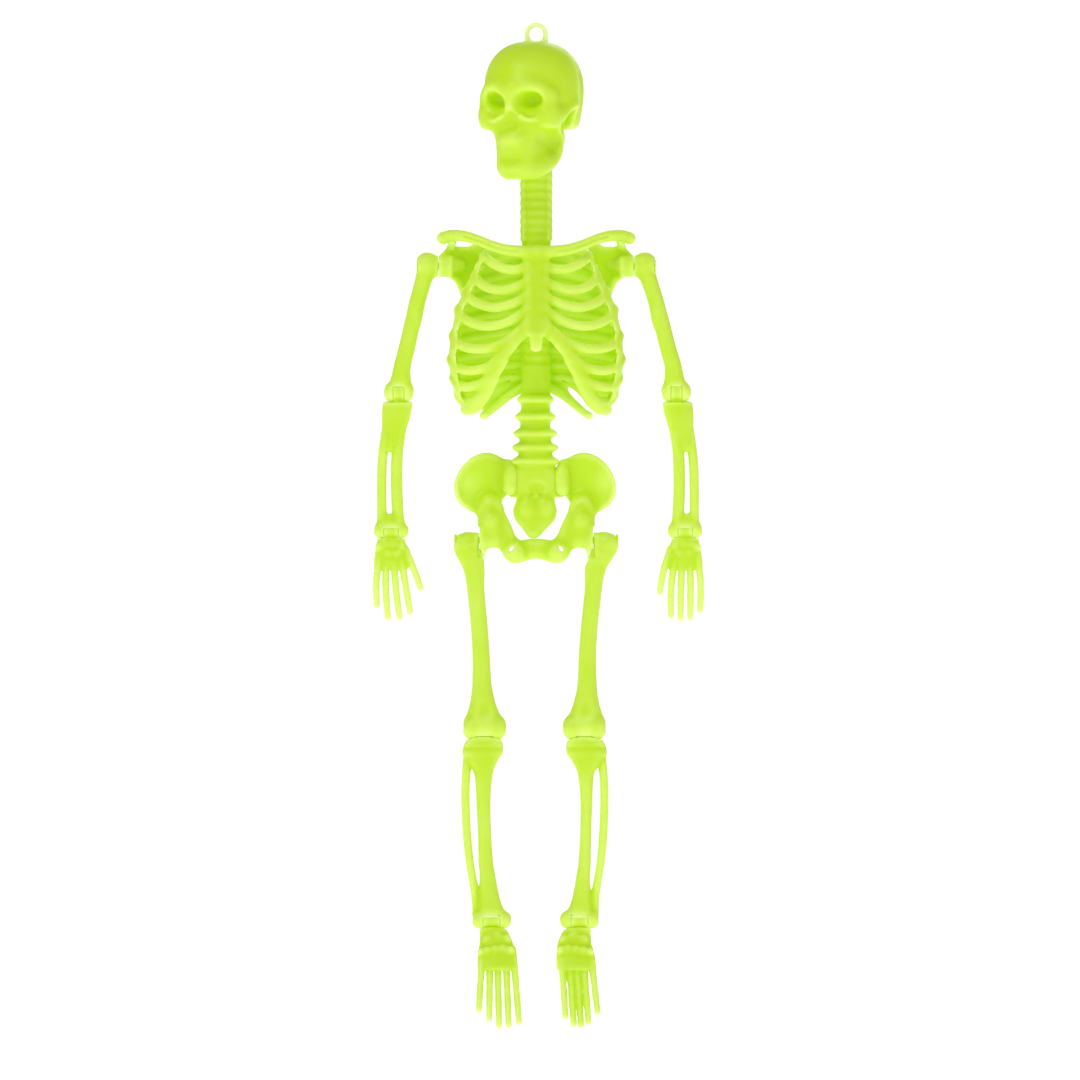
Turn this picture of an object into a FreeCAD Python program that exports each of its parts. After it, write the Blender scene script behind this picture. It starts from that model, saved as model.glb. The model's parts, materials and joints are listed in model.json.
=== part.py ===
"""Hanging skeleton figure, moulded in soft plastic and pinned together.

The figure hangs from a ring in its crown. The skull is two shells that trap the ring's foot and the head of
the neck peg. Spine, rear cage, front cage and pelvis make the trunk. Each limb is three mouldings on pins
that run from side to side. The figure faces -Y, so its right side is at -X, and +Z is up. The origin is the
centre of the ring's hole. Lengths are in millimetres.
"""

import FreeCAD, Part
import os

import Sketcher

V = FreeCAD.Vector
doc = FreeCAD.newDocument("skeleton_figure")

# ---------------------------------------------------------------- driving dimensions
DIMENSIONS = {
    # hanging ring
    "ring_bore": 2.25, "ring_outer": 3.7, "ring_band": 1.3,
    "ring_stem": 0.9, "ring_flange": 2.2, "ring_foot_z": -6.4,
    # skull, in its own frame with the face to -Y, before it turns on the neck
    "skull_width": 15.0, "skull_depth": 18.5, "skull_rise": 16.25,
    "skull_y": -1.6, "skull_z": -18.6, "skull_wall": 2.4,
    "brain_depth": 13.5, "brain_rise": 11.8, "brain_y": 0.6, "brain_z": -17.4,
    "eye_x": 6.3, "eye_y": -17.6, "eye_z": -21.4, "eye_radius": 4.4,
    "head_turn": -26.0,
    # neck peg and the well that the neck stands in
    "neck_top": -33.8, "neck_well_z": -33.5, "neck_radius": 5.1, "neck_depth": 4.6,
    "peg_radius": 2.2, "peg_head": 3.4, "peg_head_z": -28.6, "peg_head_rise": 1.5,
    # rib cage
    "cage_wall": 2.6, "cage_seam_y": -4.0, "sternum_width": 3.6,
    "sternum_top": -69.5, "sternum_end": -96.0, "xiphoid_tip": -101.6,
    "back_plate_y": 8.6, "back_plate_thick": 2.4, "back_plate_width": 5.2,
    "clavicle_radius": 1.85, "acromion_x": 27.2, "acromion_peg": 0.9,
    # pelvis
    "wing_x": 16.2, "wing_z": -144.2, "wing_radius": 10.0, "wing_thick": 3.4,
    "sacrum_back_y": 6.2, "pubis_z": -164.0, "pubis_radius": 2.6,
    # limbs, in the plane through the shoulder and hip pivots
    "limb_y": 1.5,
    "gap": 0.2, "pin_play": 0.08, "pin_slip": 0.03,
    "shoulder_face": 31.2, "shoulder_z": -74.1, "shoulder_radius": 3.1, "shoulder_pin": 1.2,
    "shoulder_ball": 3.9, "shoulder_ball_x": 34.6, "shoulder_ball_z": -73.8,
    "humerus_radius": 2.55,
    "elbow_x_right": 44.05, "elbow_x_left": 44.9, "elbow_z": -114.5,
    "elbow_radius": 3.0, "elbow_width": 9.3, "elbow_tongue": 3.5, "elbow_pin": 0.9,
    "elbow_eye": 2.0, "elbow_neck": 1.6, "elbow_wall": 2.2, "elbow_top": 2.4,
    "outer_bone": 1.55, "inner_bone": 1.9,
    "wrist_x_right": 46.45, "wrist_x_left": 47.65, "wrist_z": -158.9,
    "wrist_radius": 2.3, "wrist_width": 10.9, "wrist_tongue": 4.6, "wrist_pin": 0.75,
    "wrist_eye": 1.65, "wrist_neck": 1.3, "wrist_wall": 30, "wrist_top": 1.9,
    "digit_radius": 1.15,
    "hip_face": 18.15, "hip_z": -161.9, "hip_radius": 2.6, "hip_pin": 1.1,
    "trochanter_radius": 3.8, "trochanter_x": 22.8, "trochanter_z": -163.2,
    "femur_radius": 2.75,
    "knee_x_right": 16.55, "knee_x_left": 15.45, "knee_z": -221.9,
    "knee_radius": 4.0, "knee_width": 13.7, "knee_tongue": 5.2, "knee_pin": 1.2,
    "knee_eye": 2.4, "knee_neck": 1.9, "knee_wall": 2.65, "knee_top": 2.65,
    "tibia_bone": 2.25, "fibula_bone": 1.25,
    "ankle_x_right": 14.3, "ankle_x_left": 13.85, "ankle_z": -283.4,
    "ankle_radius": 2.8, "ankle_width": 12.4, "ankle_tongue": 5.4, "ankle_pin": 0.9,
    "ankle_eye": 1.9, "ankle_neck": 1.5, "ankle_wall": 2.15, "ankle_top": 2.15,
    "toe_radius": 1.25,
}
sheet = doc.addObject("Spreadsheet::Sheet", "dims")
for row, (alias, value) in enumerate(DIMENSIONS.items(), start=1):
    sheet.set(f"A{row}", alias)
    sheet.set(f"B{row}", str(value))
    sheet.setAlias(f"B{row}", alias)
doc.recompute()

SIDES = {"right": -1, "left": 1}
ALONG_Z = FreeCAD.Rotation()
# seams of balls and ellipsoids are turned away from those of the lofts they join
ASKEW = FreeCAD.Rotation(V(1, 2, 3), 40)
HALF_TURN = FreeCAD.Rotation(V(0, 0, 1), 180)
nodes = {}


# ---------------------------------------------------------------- helpers
def d(alias):
    """An expression that reads a cell."""
    return f"dims.{alias}"


def bind(obj, **sizes):
    for name, expression in sizes.items():
        obj.setExpression(name, str(expression))
    return obj


def place(obj, x, y, z, turn=ALONG_Z):
    obj.Placement = FreeCAD.Placement(V(), turn)
    for axis, expression in zip("xyz", (x, y, z)):
        obj.setExpression(f"Placement.Base.{axis}", str(expression))
    return obj


def ball(name, x, y, z, radius):
    sphere = doc.addObject("Part::Sphere", name)
    return place(bind(sphere, Radius=radius), x, y, z, ASKEW)


def ellipsoid(name, x, y, z, along_x, along_y, along_z):
    egg = doc.addObject("Part::Ellipsoid", name)
    return place(bind(egg, Radius1=along_z, Radius2=along_x, Radius3=along_y), x, y, z, HALF_TURN)


def post(name, x, y, bottom, top, radius):
    """An upright cylinder."""
    cylinder = doc.addObject("Part::Cylinder", name)
    bind(cylinder, Radius=radius, Height=f"({top}) - ({bottom})")
    return place(cylinder, x, y, bottom)


def cross_rod(name, side, inner, outer, y, z, radius):
    """A cylinder along X, from inner to outer measured away from the middle plane on that side."""
    cylinder = doc.addObject("Part::Cylinder", name)
    bind(cylinder, Radius=radius, Height=f"({outer}) - ({inner})")
    turn = FreeCAD.Rotation(V(0, 1, 0), 90 * side)
    return place(cylinder, f"{side} * ({inner})", y, z, turn)


def block(name, x0, x1, y0, y1, z0, z1):
    box = doc.addObject("Part::Box", name)
    bind(box, Length=f"({x1}) - ({x0})", Width=f"({y1}) - ({y0})", Height=f"({z1}) - ({z0})")
    return place(box, x0, y0, z0)


def loft(name, stations):
    """A smooth solid through level ellipses, each given as x, y, z, half width, half depth."""
    rings = []
    for index, (x, y, z, half_width, half_depth) in enumerate(stations):
        ring = doc.addObject("Part::Ellipse", f"{name}_ring{index}")
        bind(ring, MajorRadius=half_width, MinorRadius=half_depth)
        rings.append(place(ring, x, y, z))
    body = doc.addObject("Part::Loft", name)
    body.Sections = rings
    body.Solid = True
    body.Ruled = False
    return body


def chain(name, points, radius):
    """A rod through points, with a slightly thicker knuckle at each."""
    pieces = [ball(f"{name}_end{i}", *p, f"1.06 * {radius}") for i, p in enumerate(points)]
    for index, (start, end) in enumerate(zip(points, points[1:])):
        run = V(*end) - V(*start)
        link = bind(doc.addObject("Part::Cylinder", f"{name}_link{index}"), Radius=f"0.94 * {radius}")
        link.Height = run.Length
        link.Placement = FreeCAD.Placement(V(*start), FreeCAD.Rotation(V(0, 0, 1), run))
        pieces.append(link)
    return fuse(name, pieces)


def combine(kind, name, base, others):
    """Adds or takes away the others one after another."""
    for index, other in enumerate(others):
        last = index == len(others) - 1
        step = doc.addObject(kind, name if last else f"{name}_{index}")
        step.Base = base
        step.Tool = other
        step.Refine = False
        base = step
    return base


def fuse(name, shapes):
    return combine("Part::Fuse", name, shapes[0], shapes[1:])


def cut(name, base, tools):
    return combine("Part::Cut", name, base, tools)


def common(name, shapes):
    shared = doc.addObject("Part::MultiCommon", name)
    shared.Shapes = shapes
    shared.Refine = False
    return shared


def feature(name, shape):
    """A shape made with Part's own functions."""
    made = doc.addObject("Part::Feature", name)
    made.Shape = shape
    return made


def node(label, obj):
    """Names a finished sub-part."""
    obj.Label = label
    nodes[label] = obj


def number(alias):
    return float(sheet.get(alias))


def front_prism(name, outline, y0, y1):
    """A solid whose front view is an outline of points and (middle, end) arcs, from y0 back to y1."""
    edges = []
    start = V(outline[0][0], y0, outline[0][1])
    first = start
    for step in outline[1:]:
        if isinstance(step[0], tuple):
            middle, end = (V(p[0], y0, p[1]) for p in step)
            edges.append(Part.Arc(start, middle, end).toShape())
        else:
            end = V(step[0], y0, step[1])
            edges.append(Part.LineSegment(start, end).toShape())
        start = end
    if (start - first).Length > 1e-6:
        edges.append(Part.LineSegment(start, first).toShape())
    face = Part.Face(Part.Wire(edges))
    return feature(name, face.extrude(V(0, y1 - y0, 0)))


# ---------------------------------------------------------------- hanging ring
def hanging_ring():
    """A ring with a flat inner band and a rounded outer edge, on a stem with a flange."""
    body = doc.addObject("PartDesign::Body", "ring_body")
    section = body.newObject("Sketcher::SketchObject", "ring_section")
    planes = {f.Role: f for f in body.Origin.OriginFeatures}
    section.AttachmentSupport = [(planes["XY_Plane"], "")]
    section.MapMode = "FlatFace"
    bore, outer, band = number("ring_bore"), number("ring_outer"), number("ring_band")
    half, mid = band / 2, outer - band / 2
    corners = [V(bore, -half), V(mid, -half), V(mid, half), V(bore, half)]
    section.addGeometry(Part.LineSegment(corners[0], corners[1]))
    section.addGeometry(Part.Arc(corners[1], V(outer, 0), corners[2]))
    section.addGeometry(Part.LineSegment(corners[2], corners[3]))
    section.addGeometry(Part.LineSegment(corners[3], corners[0]))
    for index in range(4):
        joined = Sketcher.Constraint("Coincident", index, 2, (index + 1) % 4, 1)
        section.addConstraint(joined)
    inner = section.addConstraint(Sketcher.Constraint("DistanceX", -1, 1, 0, 1, bore))
    section.renameConstraint(inner, "bore")
    section.setExpression("Constraints.bore", d("ring_bore"))
    turned = body.newObject("PartDesign::Revolution", "ring_turned")
    turned.Profile = section
    turned.ReferenceAxis = (section, ["V_Axis"])
    turned.Angle = 360
    body.Tip = turned
    stem = post("ring_stem_post", 0, 0, d("ring_foot_z"), f"-{d('ring_bore')} - 0.4", d("ring_stem"))
    flange = post("ring_flange_disc", 0, 0, d("ring_foot_z"), f"{d('ring_foot_z')} + 1", d("ring_flange"))
    node("hanging_loop", fuse("ring_whole", [body, stem, flange]))


# ---------------------------------------------------------------- skull
def skull():
    """Two shells split through the ears, round a hollow that holds the ring's foot and the peg's head."""
    cranium = ellipsoid("cranium", 0, d("skull_y"), d("skull_z"),
                        d("skull_width"), d("skull_depth"), d("skull_rise"))
    face = loft("face_block", [
        (0, -6.5, -21.0, 13.6, 9.5),
        (0, -7.5, -26.5, 13.8, 9.0),
        (0, -8.6, -31.5, 11.0, 8.4),
        (0, -9.4, -37.0, 9.4, 7.8),
        (0, -9.8, -42.0, 8.2, 7.4),
        (0, -10.4, -46.0, 6.4, 6.4),
    ])
    cheeks = [ball(f"cheek_{name}", side * 11.4, -11.4, -25.6, 3.2) for name, side in SIDES.items()]
    outside = fuse("skull_outside", [cranium, face, *cheeks])
    hollow = ellipsoid("brain_hollow", 0, d("brain_y"), d("brain_z"),
                       f"{d('skull_width')} - {d('skull_wall')}", d("brain_depth"), d("brain_rise"))
    sockets = [ball(f"eye_{name}", f"{side} * {d('eye_x')}", d("eye_y"), d("eye_z"), d("eye_radius"))
               for name, side in SIDES.items()]
    nose = ellipsoid("nose_hollow", 0, -18.6, -28.6, 2.2, 3.0, 3.4)
    well = post("neck_well", 0, 0, -60, d("neck_well_z"), f"{d('neck_radius')} + 0.45")
    peg_hole = post("peg_hole", 0, 0, -36, d("peg_head_z"), f"{d('peg_radius')} + {d('pin_play')}")
    peg_room = post("peg_room", 0, 0, f"{d('peg_head_z')} - 0.15",
                    f"{d('peg_head_z')} + {d('peg_head_rise')} + 0.4", f"{d('peg_head')} + 0.3")
    ring_slot = block("ring_slot", -3.15, 3.15, -0.72, 0.72, -3.75, 0)
    stem_hole = post("stem_hole", 0, 0, -7, -3, f"{d('ring_stem')} + {d('pin_slip')}")
    flange_room = post("flange_room", 0, 0, f"{d('ring_foot_z')} - 0.6", f"{d('ring_foot_z')} + 1.03",
                       f"{d('ring_flange')} + 0.1")
    turn = FreeCAD.Rotation(V(0, 0, 1), number("head_turn"))
    shaped = cut("skull_shaped", outside, [hollow, *sockets, nose, well, peg_hole, peg_room])
    for label, y0, y1 in (("skull_face", -40, 0), ("skull_back", 0, 40)):
        half = common(f"{label}_half", [shaped, block(f"{label}_side", -40, 40, y0, y1, -60, 5)])
        half.Placement = FreeCAD.Placement(V(), turn)
        # the ring faces forward, so its slot is cut after the shells have turned
        node(label, cut(f"{label}_slotted", half, [ring_slot, stem_hole, flange_room]))


# ---------------------------------------------------------------- trunk
def spine():
    """Neck peg, ringed neck, back and lumbar column, and the tail that ends in a point."""
    neck_width, neck_depth = d("neck_radius"), d("neck_depth")
    column = loft("column", [
        (0, 0, d("neck_top"), neck_width, neck_depth),
        (0, 0, -50, neck_width, neck_depth),
        (0, 1.2, -66, neck_width, neck_depth),
        (0, 4.2, -80, 4.4, 4.0),
        (0, 5.6, -96, 4.2, 4.0),
        (0, 5.2, -112, 4.5, 4.1),
        (0, 4.2, -124.6, 4.8, 4.3),
        (0, 3.6, -138, 5.7, 4.4),
        (0, 3.4, -147.5, 5.5, 3.6),
    ])
    tail = loft("tail", [
        (0, 3.4, -146.8, 5.2, 3.3),
        (0, 3.2, -152.4, 6.6, 2.7),
        (0, 2.4, -156.8, 3.9, 2.1),
        (0, 1.7, -160.6, 1.2, 1.1),
    ])
    rings = [loft(f"neck_ring{i}", [(0, 0, z - 0.5, 5.35, 4.85), (0, 0, z + 0.5, 5.35, 4.85)])
             for i, z in enumerate(-46.5 - 2.9 * n for n in range(5))]
    lobes = []
    for index, (z, half_width) in enumerate(((-116.8, 5.8), (-122.3, 6.5), (-127.7, 7.0), (-132.0, 7.3),
                                             (-136.4, 7.7))):
        lobes.append(ellipsoid(f"lumbar_lobe{index}", 0, 3.8, z, half_width, 4.6, 1.5))
    peg = post("neck_peg", 0, 0, d("neck_top") + " - 1", f"{d('peg_head_z')} + 0.5", d("peg_radius"))
    peg_head = post("neck_peg_head", 0, 0, d("peg_head_z"),
                    f"{d('peg_head_z')} + {d('peg_head_rise')}", d("peg_head"))
    whole = fuse("spine_whole", [column, tail, *rings, *lobes, peg, peg_head])
    plate_bed = block("plate_bed", -20, 20, d("back_plate_y"), 30, -120, -60)
    pelvis_bed = block("pelvis_bed", -20, 20, d("sacrum_back_y"), 30, -170, -138.6)
    node("spine", cut("spine_flat", whole, [plate_bed, pelvis_bed]))


CAGE = [  # z, half width, front y, rear y of the rib cage's outside
    (-67.0, 16.5, -12.5, 8.4),
    (-77.0, 21.5, -15.5, 10.0),
    (-88.0, 26.6, -19.0, 11.0),
    (-97.0, 28.3, -21.4, 11.0),
    (-104.0, 28.8, -22.4, 11.0),
    (-110.0, 27.9, -22.0, 11.0),
    (-116.0, 25.8, -20.2, 10.6),
    (-123.2, 19.4, -17.0, 9.4),
]
RIBS = [  # middle line of each front rib, from the breastbone outwards: distance from the middle plane, z
    [(3.0, -75.2), (8.7, -75.5), (13.5, -73.8), (18.5, -70.0)],
    [(3.0, -80.0), (10.6, -82.0), (16.8, -80.4), (20.3, -76.6)],
    [(3.0, -84.4), (8.6, -86.6), (14.2, -87.4), (19.7, -85.6), (23.0, -82.6)],
    [(3.0, -88.8), (9.4, -92.2), (16.0, -93.4), (20.4, -92.4), (24.0, -89.6)],
    [(3.0, -93.6), (9.4, -98.6), (16.0, -100.8), (21.0, -100.4), (25.0, -97.4)],
    [(9.4, -101.4), (12.6, -105.2), (17.0, -107.2), (21.4, -107.6), (25.4, -104.4)],
    [(12.0, -106.4), (14.4, -110.2), (18.0, -112.2), (21.6, -112.4), (25.2, -109.6)],
    [(14.4, -112.4), (16.4, -115.6), (19.0, -117.0), (22.0, -116.9), (25.0, -114.4)],
]
RIB_HALF = 1.3
INNER_ENDS = [5.2, 5.2, 5.2, 5.2, 10.0, 14.0, 15.4]
FLANK_SLOTS = [-74.0, -80.2, -87.4, -95.4, -103.3, -109.9, -114.8]


def cage_solid(name, wall):
    """The rib cage's outside, or its hollow when the wall is taken off."""
    stations = []
    for z, half_width, front, rear in CAGE:
        depth = f"{(rear - front) / 2} - ({wall})"
        stations.append((0, (front + rear) / 2, z, f"{half_width} - ({wall})", depth))
    return loft(name, stations)


def height_on(line, x):
    """The height of a rib's middle line at a distance from the middle plane."""
    for (x0, z0), (x1, z1) in zip(line, line[1:]):
        if x <= x1:
            return z0 + (z1 - z0) * (x - x0) / (x1 - x0)
    return line[-1][1]


def front_gaps():
    """The gaps between the front ribs, which sag away from the breastbone and rise to the flanks."""
    gaps = []
    for index, (upper, lower) in enumerate(zip(RIBS, RIBS[1:])):
        inner = INNER_ENDS[index]
        outer = min(upper[-1][0], lower[-1][0]) - 1.0
        stops = [inner + (outer - inner) * share / 6 for share in range(7)]
        top = [(x, height_on(upper, x) - RIB_HALF) for x in stops]
        bottom = [(x, height_on(lower, x) + RIB_HALF) for x in stops]
        for name, side in SIDES.items():
            outline = [(side * x, z) for x, z in top + bottom[::-1]]
            gaps.append(front_prism(f"front_gap{index}_{name}", outline, -40, -11.5))
    return gaps


def flank_gaps():
    """The gaps between ribs at the flanks: sloping slots through the front and rear shells alike."""
    slope = FreeCAD.Rotation(V(1, 0, 0), 18.0)
    gaps = []
    for index, height in enumerate(FLANK_SLOTS):
        for name, side in SIDES.items():
            slot = doc.addObject("Part::Box", f"flank_gap{index}_{name}")
            bind(slot, Length=24, Width=16.5, Height=1.6)
            low_x = 15.0 if side > 0 else -39.0
            gaps.append(place(slot, low_x, -12.6, height - 0.8, slope))
    return gaps


def rib_cage():
    """Front and rear cages are halves of one barrel, slotted into ribs, that meet on a flat seam."""
    barrel = cut("barrel", cage_solid("cage_outside", 0), [cage_solid("cage_hollow", d("cage_wall"))])
    seam = number("cage_seam_y")
    flanks = flank_gaps()
    arch = front_prism("costal_arch", [
        (-18.6, -130), (-18.6, -121.5), ((-11.0, -107.6), (-3.4, -96.6)), (3.4, -96.6),
        ((11.0, -107.6), (18.6, -121.5)), (18.6, -130),
    ], -40, seam)
    front_shell = common("front_shell", [barrel, block("front_side", -40, 40, -40, seam, -130, -69)])
    sternum = feature("sternum", slanted_plate())
    xiphoid = loft("xiphoid", [
        (0, -20.4, d("sternum_end") + " + 1", 3.2, 1.5),
        (0, -20.6, -99.0, 1.9, 1.3),
        (0, -20.6, d("xiphoid_tip"), 0.8, 0.7),
    ])
    collars = []
    for name, side in SIDES.items():
        collars.append(chain(f"clavicle_{name}", [
            (side * 2.0, -12.6, -70.6), (side * 9.5, -12.2, -69.0), (side * 17.5, -8.6, -66.0),
            (side * 24.0, -3.6, -64.4), (side * 30.5, 0.3, -64.5),
        ], d("clavicle_radius")))
    slotted = cut("front_slotted", front_shell, [*front_gaps(), *flanks, arch])
    whole = fuse("front_whole", [slotted, sternum, xiphoid, *collars])
    peg_holes = [post(f"acromion_hole_{name}", f"{side} * {d('acromion_x')}", -1.6, -70, -64.3,
                      f"{d('acromion_peg')} + {d('pin_slip')}") for name, side in SIDES.items()]
    node("front_ribcage", cut("front_ribcage_cut", whole, peg_holes))

    rear_shell = common("rear_shell", [barrel, block("rear_side", -40, 40, seam, 40, -130, -66)])
    lower_edge = front_prism("rear_lower_edge", [
        (-30, -130), (-17.5, -124.5), (-5.0, -115.5), (5.0, -115.5), (17.5, -124.5), (30, -130),
    ], seam, 40)
    spine_bed = block("spine_bed", f"-{d('back_plate_width')}", d("back_plate_width"), -10,
                      d("back_plate_y"), -130, -60)
    slotted_rear = cut("rear_slotted", rear_shell, [*flanks, lower_edge])
    plate = block("back_plate", f"-{d('back_plate_width')}", d("back_plate_width"), d("back_plate_y"),
                  f"{d('back_plate_y')} + {d('back_plate_thick')}", -114.5, -70)
    whole_rear = [cut("rear_open", slotted_rear, [spine_bed]), plate]
    pin_holes = []
    for name, side in SIDES.items():
        whole_rear.append(scapula(name, side))
        whole_rear.append(cross_rod(f"glenoid_{name}", side, 25.2, d("shoulder_face"), d("limb_y"),
                                    d("shoulder_z"), d("shoulder_radius")))
        whole_rear.append(post(f"acromion_{name}", f"{side} * {d('acromion_x')}", -1.6, -72, -64.8,
                               d("acromion_peg")))
        pin_holes.append(cross_rod(f"glenoid_hole_{name}", side, f"{d('shoulder_face')} - 4.4", 40,
                                   d("limb_y"), d("shoulder_z"), f"{d('shoulder_pin')} + {d('pin_slip')}"))
    hollow = cage_solid("rear_hollow", d("cage_wall"))
    inside = cut("rear_clear", fuse("rear_whole", whole_rear), [*pin_holes, hollow_below(hollow)])
    node("rear_ribcage", inside)


def hollow_below(hollow):
    """The cage's hollow behind the seam, kept off the back plate, so that nothing stands inside the cage."""
    seam = number("cage_seam_y")
    return common("hollow_rear", [hollow, block("hollow_side", -40, 40, seam, d("back_plate_y"), -130, -60)])


def slanted_plate():
    """The sternum: a plate that leans out from the collar bones to the tip of the breastbone."""
    half = number("sternum_width")
    top, end = number("sternum_top"), number("sternum_end")
    outline = [V(-half, -12.4, top), V(-half, -14.9, top), V(-half, -22.6, end), V(-half, -19.6, end)]
    face = Part.Face(Part.makePolygon([*outline, outline[0]]))
    return face.extrude(V(2 * half, 0, 0))


def scapula(name, side):
    """A triangular blade that leans from the shoulder joint back on to the ribs."""
    outline = [(0.0, 5.4), (7.5, 6.6), (17.5, 5.2), (19.0, 1.5), (13.0, -15.0), (10.5, -15.4), (2.2, -3.0)]
    points = [V(-x, 0, z) for x, z in outline]
    face = Part.Face(Part.makePolygon([*points, points[0]]))
    blade = face.extrude(V(0, 2.2, 0))
    blade.rotate(V(), V(0, 0, 1), -24)
    blade.translate(V(29.6, 0.4, number("shoulder_z")))
    if side < 0:
        blade = blade.mirror(V(), V(1, 0, 0))
    return feature(f"scapula_{name}", blade)


def pelvis():
    """Two round wings on a sacral plate, carried down to the hip sockets and the bar of the pubis."""
    pieces = [block("sacral_plate", -9.5, 9.5, d("sacrum_back_y"), f"{d('sacrum_back_y')} + 2.6",
                    -148.2, -138.6)]
    bores = []
    for name, side in SIDES.items():
        wing = bind(doc.addObject("Part::Cylinder", f"wing_{name}"),
                    Radius=d("wing_radius"), Height=d("wing_thick"))
        lean = FreeCAD.Rotation(V(0, 0, 1), -16 * side).multiply(FreeCAD.Rotation(V(1, 0, 0), -90))
        pieces.append(place(wing, f"{side} * ({d('wing_x')})", 3.2, d("wing_z"), lean))
        pieces.append(loft(f"column_{name}", [
            (side * 14.8, 4.6, -147.0, 5.4, 2.6),
            (side * 14.4, 3.2, -154.6, 4.5, 3.0),
            (side * 13.4, 1.6, -158.6, 4.9, 3.4),
            (side * 9.8, 0.4, -163.2, 3.2, 3.1),
            (side * 7.8, -0.6, -167.2, 2.4, 2.4),
        ]))
        pieces.append(cross_rod(f"hip_boss_{name}", side, 12.5, d("hip_face"), d("limb_y"), d("hip_z"),
                                f"{d('hip_radius')} - 0.3"))
        pieces.append(ball(f"ischium_{name}", side * 6.6, -1.0, -165.5, 3.3))
        bores.append(cross_rod(f"hip_bore_{name}", side, f"{d('hip_face')} - 4.4", 30, d("limb_y"),
                               d("hip_z"), f"{d('hip_pin')} + {d('pin_slip')}"))
        bores.append(cross_rod(f"hip_clear_{name}", side, d("hip_face"), 30, d("limb_y"), d("hip_z"), 6.0))
        bores.append(ellipsoid(f"obturator_{name}", side * 8.1, -1, -164.6, 0.55, 9, 0.9))
    bar = cross_rod("pubis_bar", 1, -7, 7, -1.2, d("pubis_z"), d("pubis_radius"))
    bed = block("spine_front_bed", -7.6, 7.6, -6, d("sacrum_back_y"), -160.9, -130)
    node("pelvis", cut("pelvis_cut", fuse("pelvis_whole", [*pieces, bar]), [*bores, bed]))


# ---------------------------------------------------------------- limb joints
def hinge(joint, name, side):
    """The shapes of a pinned fork and tongue: what each of the two bones gains and loses, and the pin.

    A wall of the fork closes the side that the joint doesn't bend to, and stops it there: the front of the
    knee, the back of the elbow and ankle. The wrist bends both ways and has none.
    """
    x, y, z = d(f"{joint}_x_{name}"), d("limb_y"), d(f"{joint}_z")
    radius, half, tongue = d(f"{joint}_radius"), f"{d(f'{joint}_width')} / 2", f"{d(f'{joint}_tongue')} / 2"
    pin, gap, neck, wall = d(f"{joint}_pin"), d("gap"), d(f"{joint}_neck"), d(f"{joint}_wall")
    tag = f"{joint}_{name}"

    def rod(part, inner, outer, size):
        return cross_rod(f"{tag}_{part}", side, inner, outer, y, z, size)

    def slice_of(part, inner, outer, front, rear, bottom, top):
        low, high = (inner, outer) if side > 0 else (f"-({outer})", f"-({inner})")
        return block(f"{tag}_{part}", low, high, front, rear, bottom, top)

    low, high = f"{x} - {tongue}", f"{x} + {tongue}"
    front, rear = (f"{y} - {wall}", "30") if joint == "knee" else ("-30", f"{y} + {wall}")
    slot = slice_of("slot", f"{low} - {gap} / 2", f"{high} + {gap} / 2", front, rear,
                    f"{z} - {radius} - 12", f"{z} + {d(f'{joint}_top')}")
    head = f"{x} + {half} - 0.9"
    return {
        "knuckle": rod("knuckle", f"{x} - {half}", f"{x} + {half}", radius),
        "fork_cuts": [slot,
                      rod("fork_bore", f"{x} - {half} + 1", f"{x} + {half} + 1", f"{pin} + {d('pin_slip')}"),
                      rod("counterbore", head, f"{x} + {half} + 1", f"1.6 * {pin} + 0.1")],
        "relief": [rod("relief", f"{x} - {half} - 3", f"{x} + {half} + 3", f"{radius} + {gap}")],
        "tongue": [rod("eye", low, high, d(f"{joint}_eye")),
                   slice_of("neck", low, high, f"{y} - {neck}", f"{y} + {neck}", f"{z} - {radius} - 1.6", z)],
        "tongue_bore": [rod("tongue_bore", f"{low} - 1", f"{high} + 1", f"{pin} + {d('pin_play')}")],
        "pin": fuse(f"{tag}_pin_whole", [rod("pin_shank", f"{x} - {half} + 1.2", f"{x} + {half} - 0.5", pin),
                                         rod("pin_head", f"{head} + 0.05", f"{x} + {half} - 0.1",
                                             f"1.6 * {pin}")]),
    }


def hang_on(name, bone, joint):
    """The bone below a hinge, kept clear of the knuckle and given its tongue."""
    cleared = cut(f"{name}_cleared", bone, joint["relief"])
    return cut(f"{name}_bored", fuse(f"{name}_tongued", [cleared, *joint["tongue"]]), joint["tongue_bore"])


def swivel_pin(joint, name, side, head_x):
    """A headed pin through the top of a limb into the blind hole of its socket, and the limb's own bore."""
    face, y, z, pin = d(f"{joint}_face"), d("limb_y"), d(f"{joint}_z"), d(f"{joint}_pin")
    tag = f"{joint}_{name}"

    def rod(part, inner, outer, size):
        return cross_rod(f"{tag}_{part}", side, inner, outer, y, z, size)

    bore = rod("bore", f"{face} - 1", head_x, f"{pin} + {d('pin_play')}")
    counterbore = rod("counterbore", f"{head_x} - 1.1", f"{head_x} + 6", f"1.7 * {pin} + 0.15")
    shank = rod("pin_shank", f"{face} - 4.1", f"{head_x} - 0.5", pin)
    head = rod("pin_head", f"{head_x} - 1", f"{head_x} - 0.15", f"1.7 * {pin}")
    return [bore, counterbore], fuse(f"{tag}_pin_whole", [shank, head])


def between(start, end, share, bow=0.0):
    """A point on the line from start to end, bowed away from the middle plane."""
    return [a + (b - a) * share + (bow if axis == 0 else 0.0) for axis, (a, b) in enumerate(zip(start, end))]


def shaft(name, side, start, end, radius, profile, depth=0.9):
    """A limb bone's loft. The profile holds share of the length, bow, and half width in radii."""
    stations = []
    for share, bow, factor in profile:
        x, y, z = between(start, end, share, bow)
        wide = f"{d(radius)} * {factor}"
        deep = f"{d(radius)} * {min(factor, depth * (1 + 0.35 * (factor - 1)))}"
        stations.append((side * x, y, z, wide, deep))
    return loft(name, stations)


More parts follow.
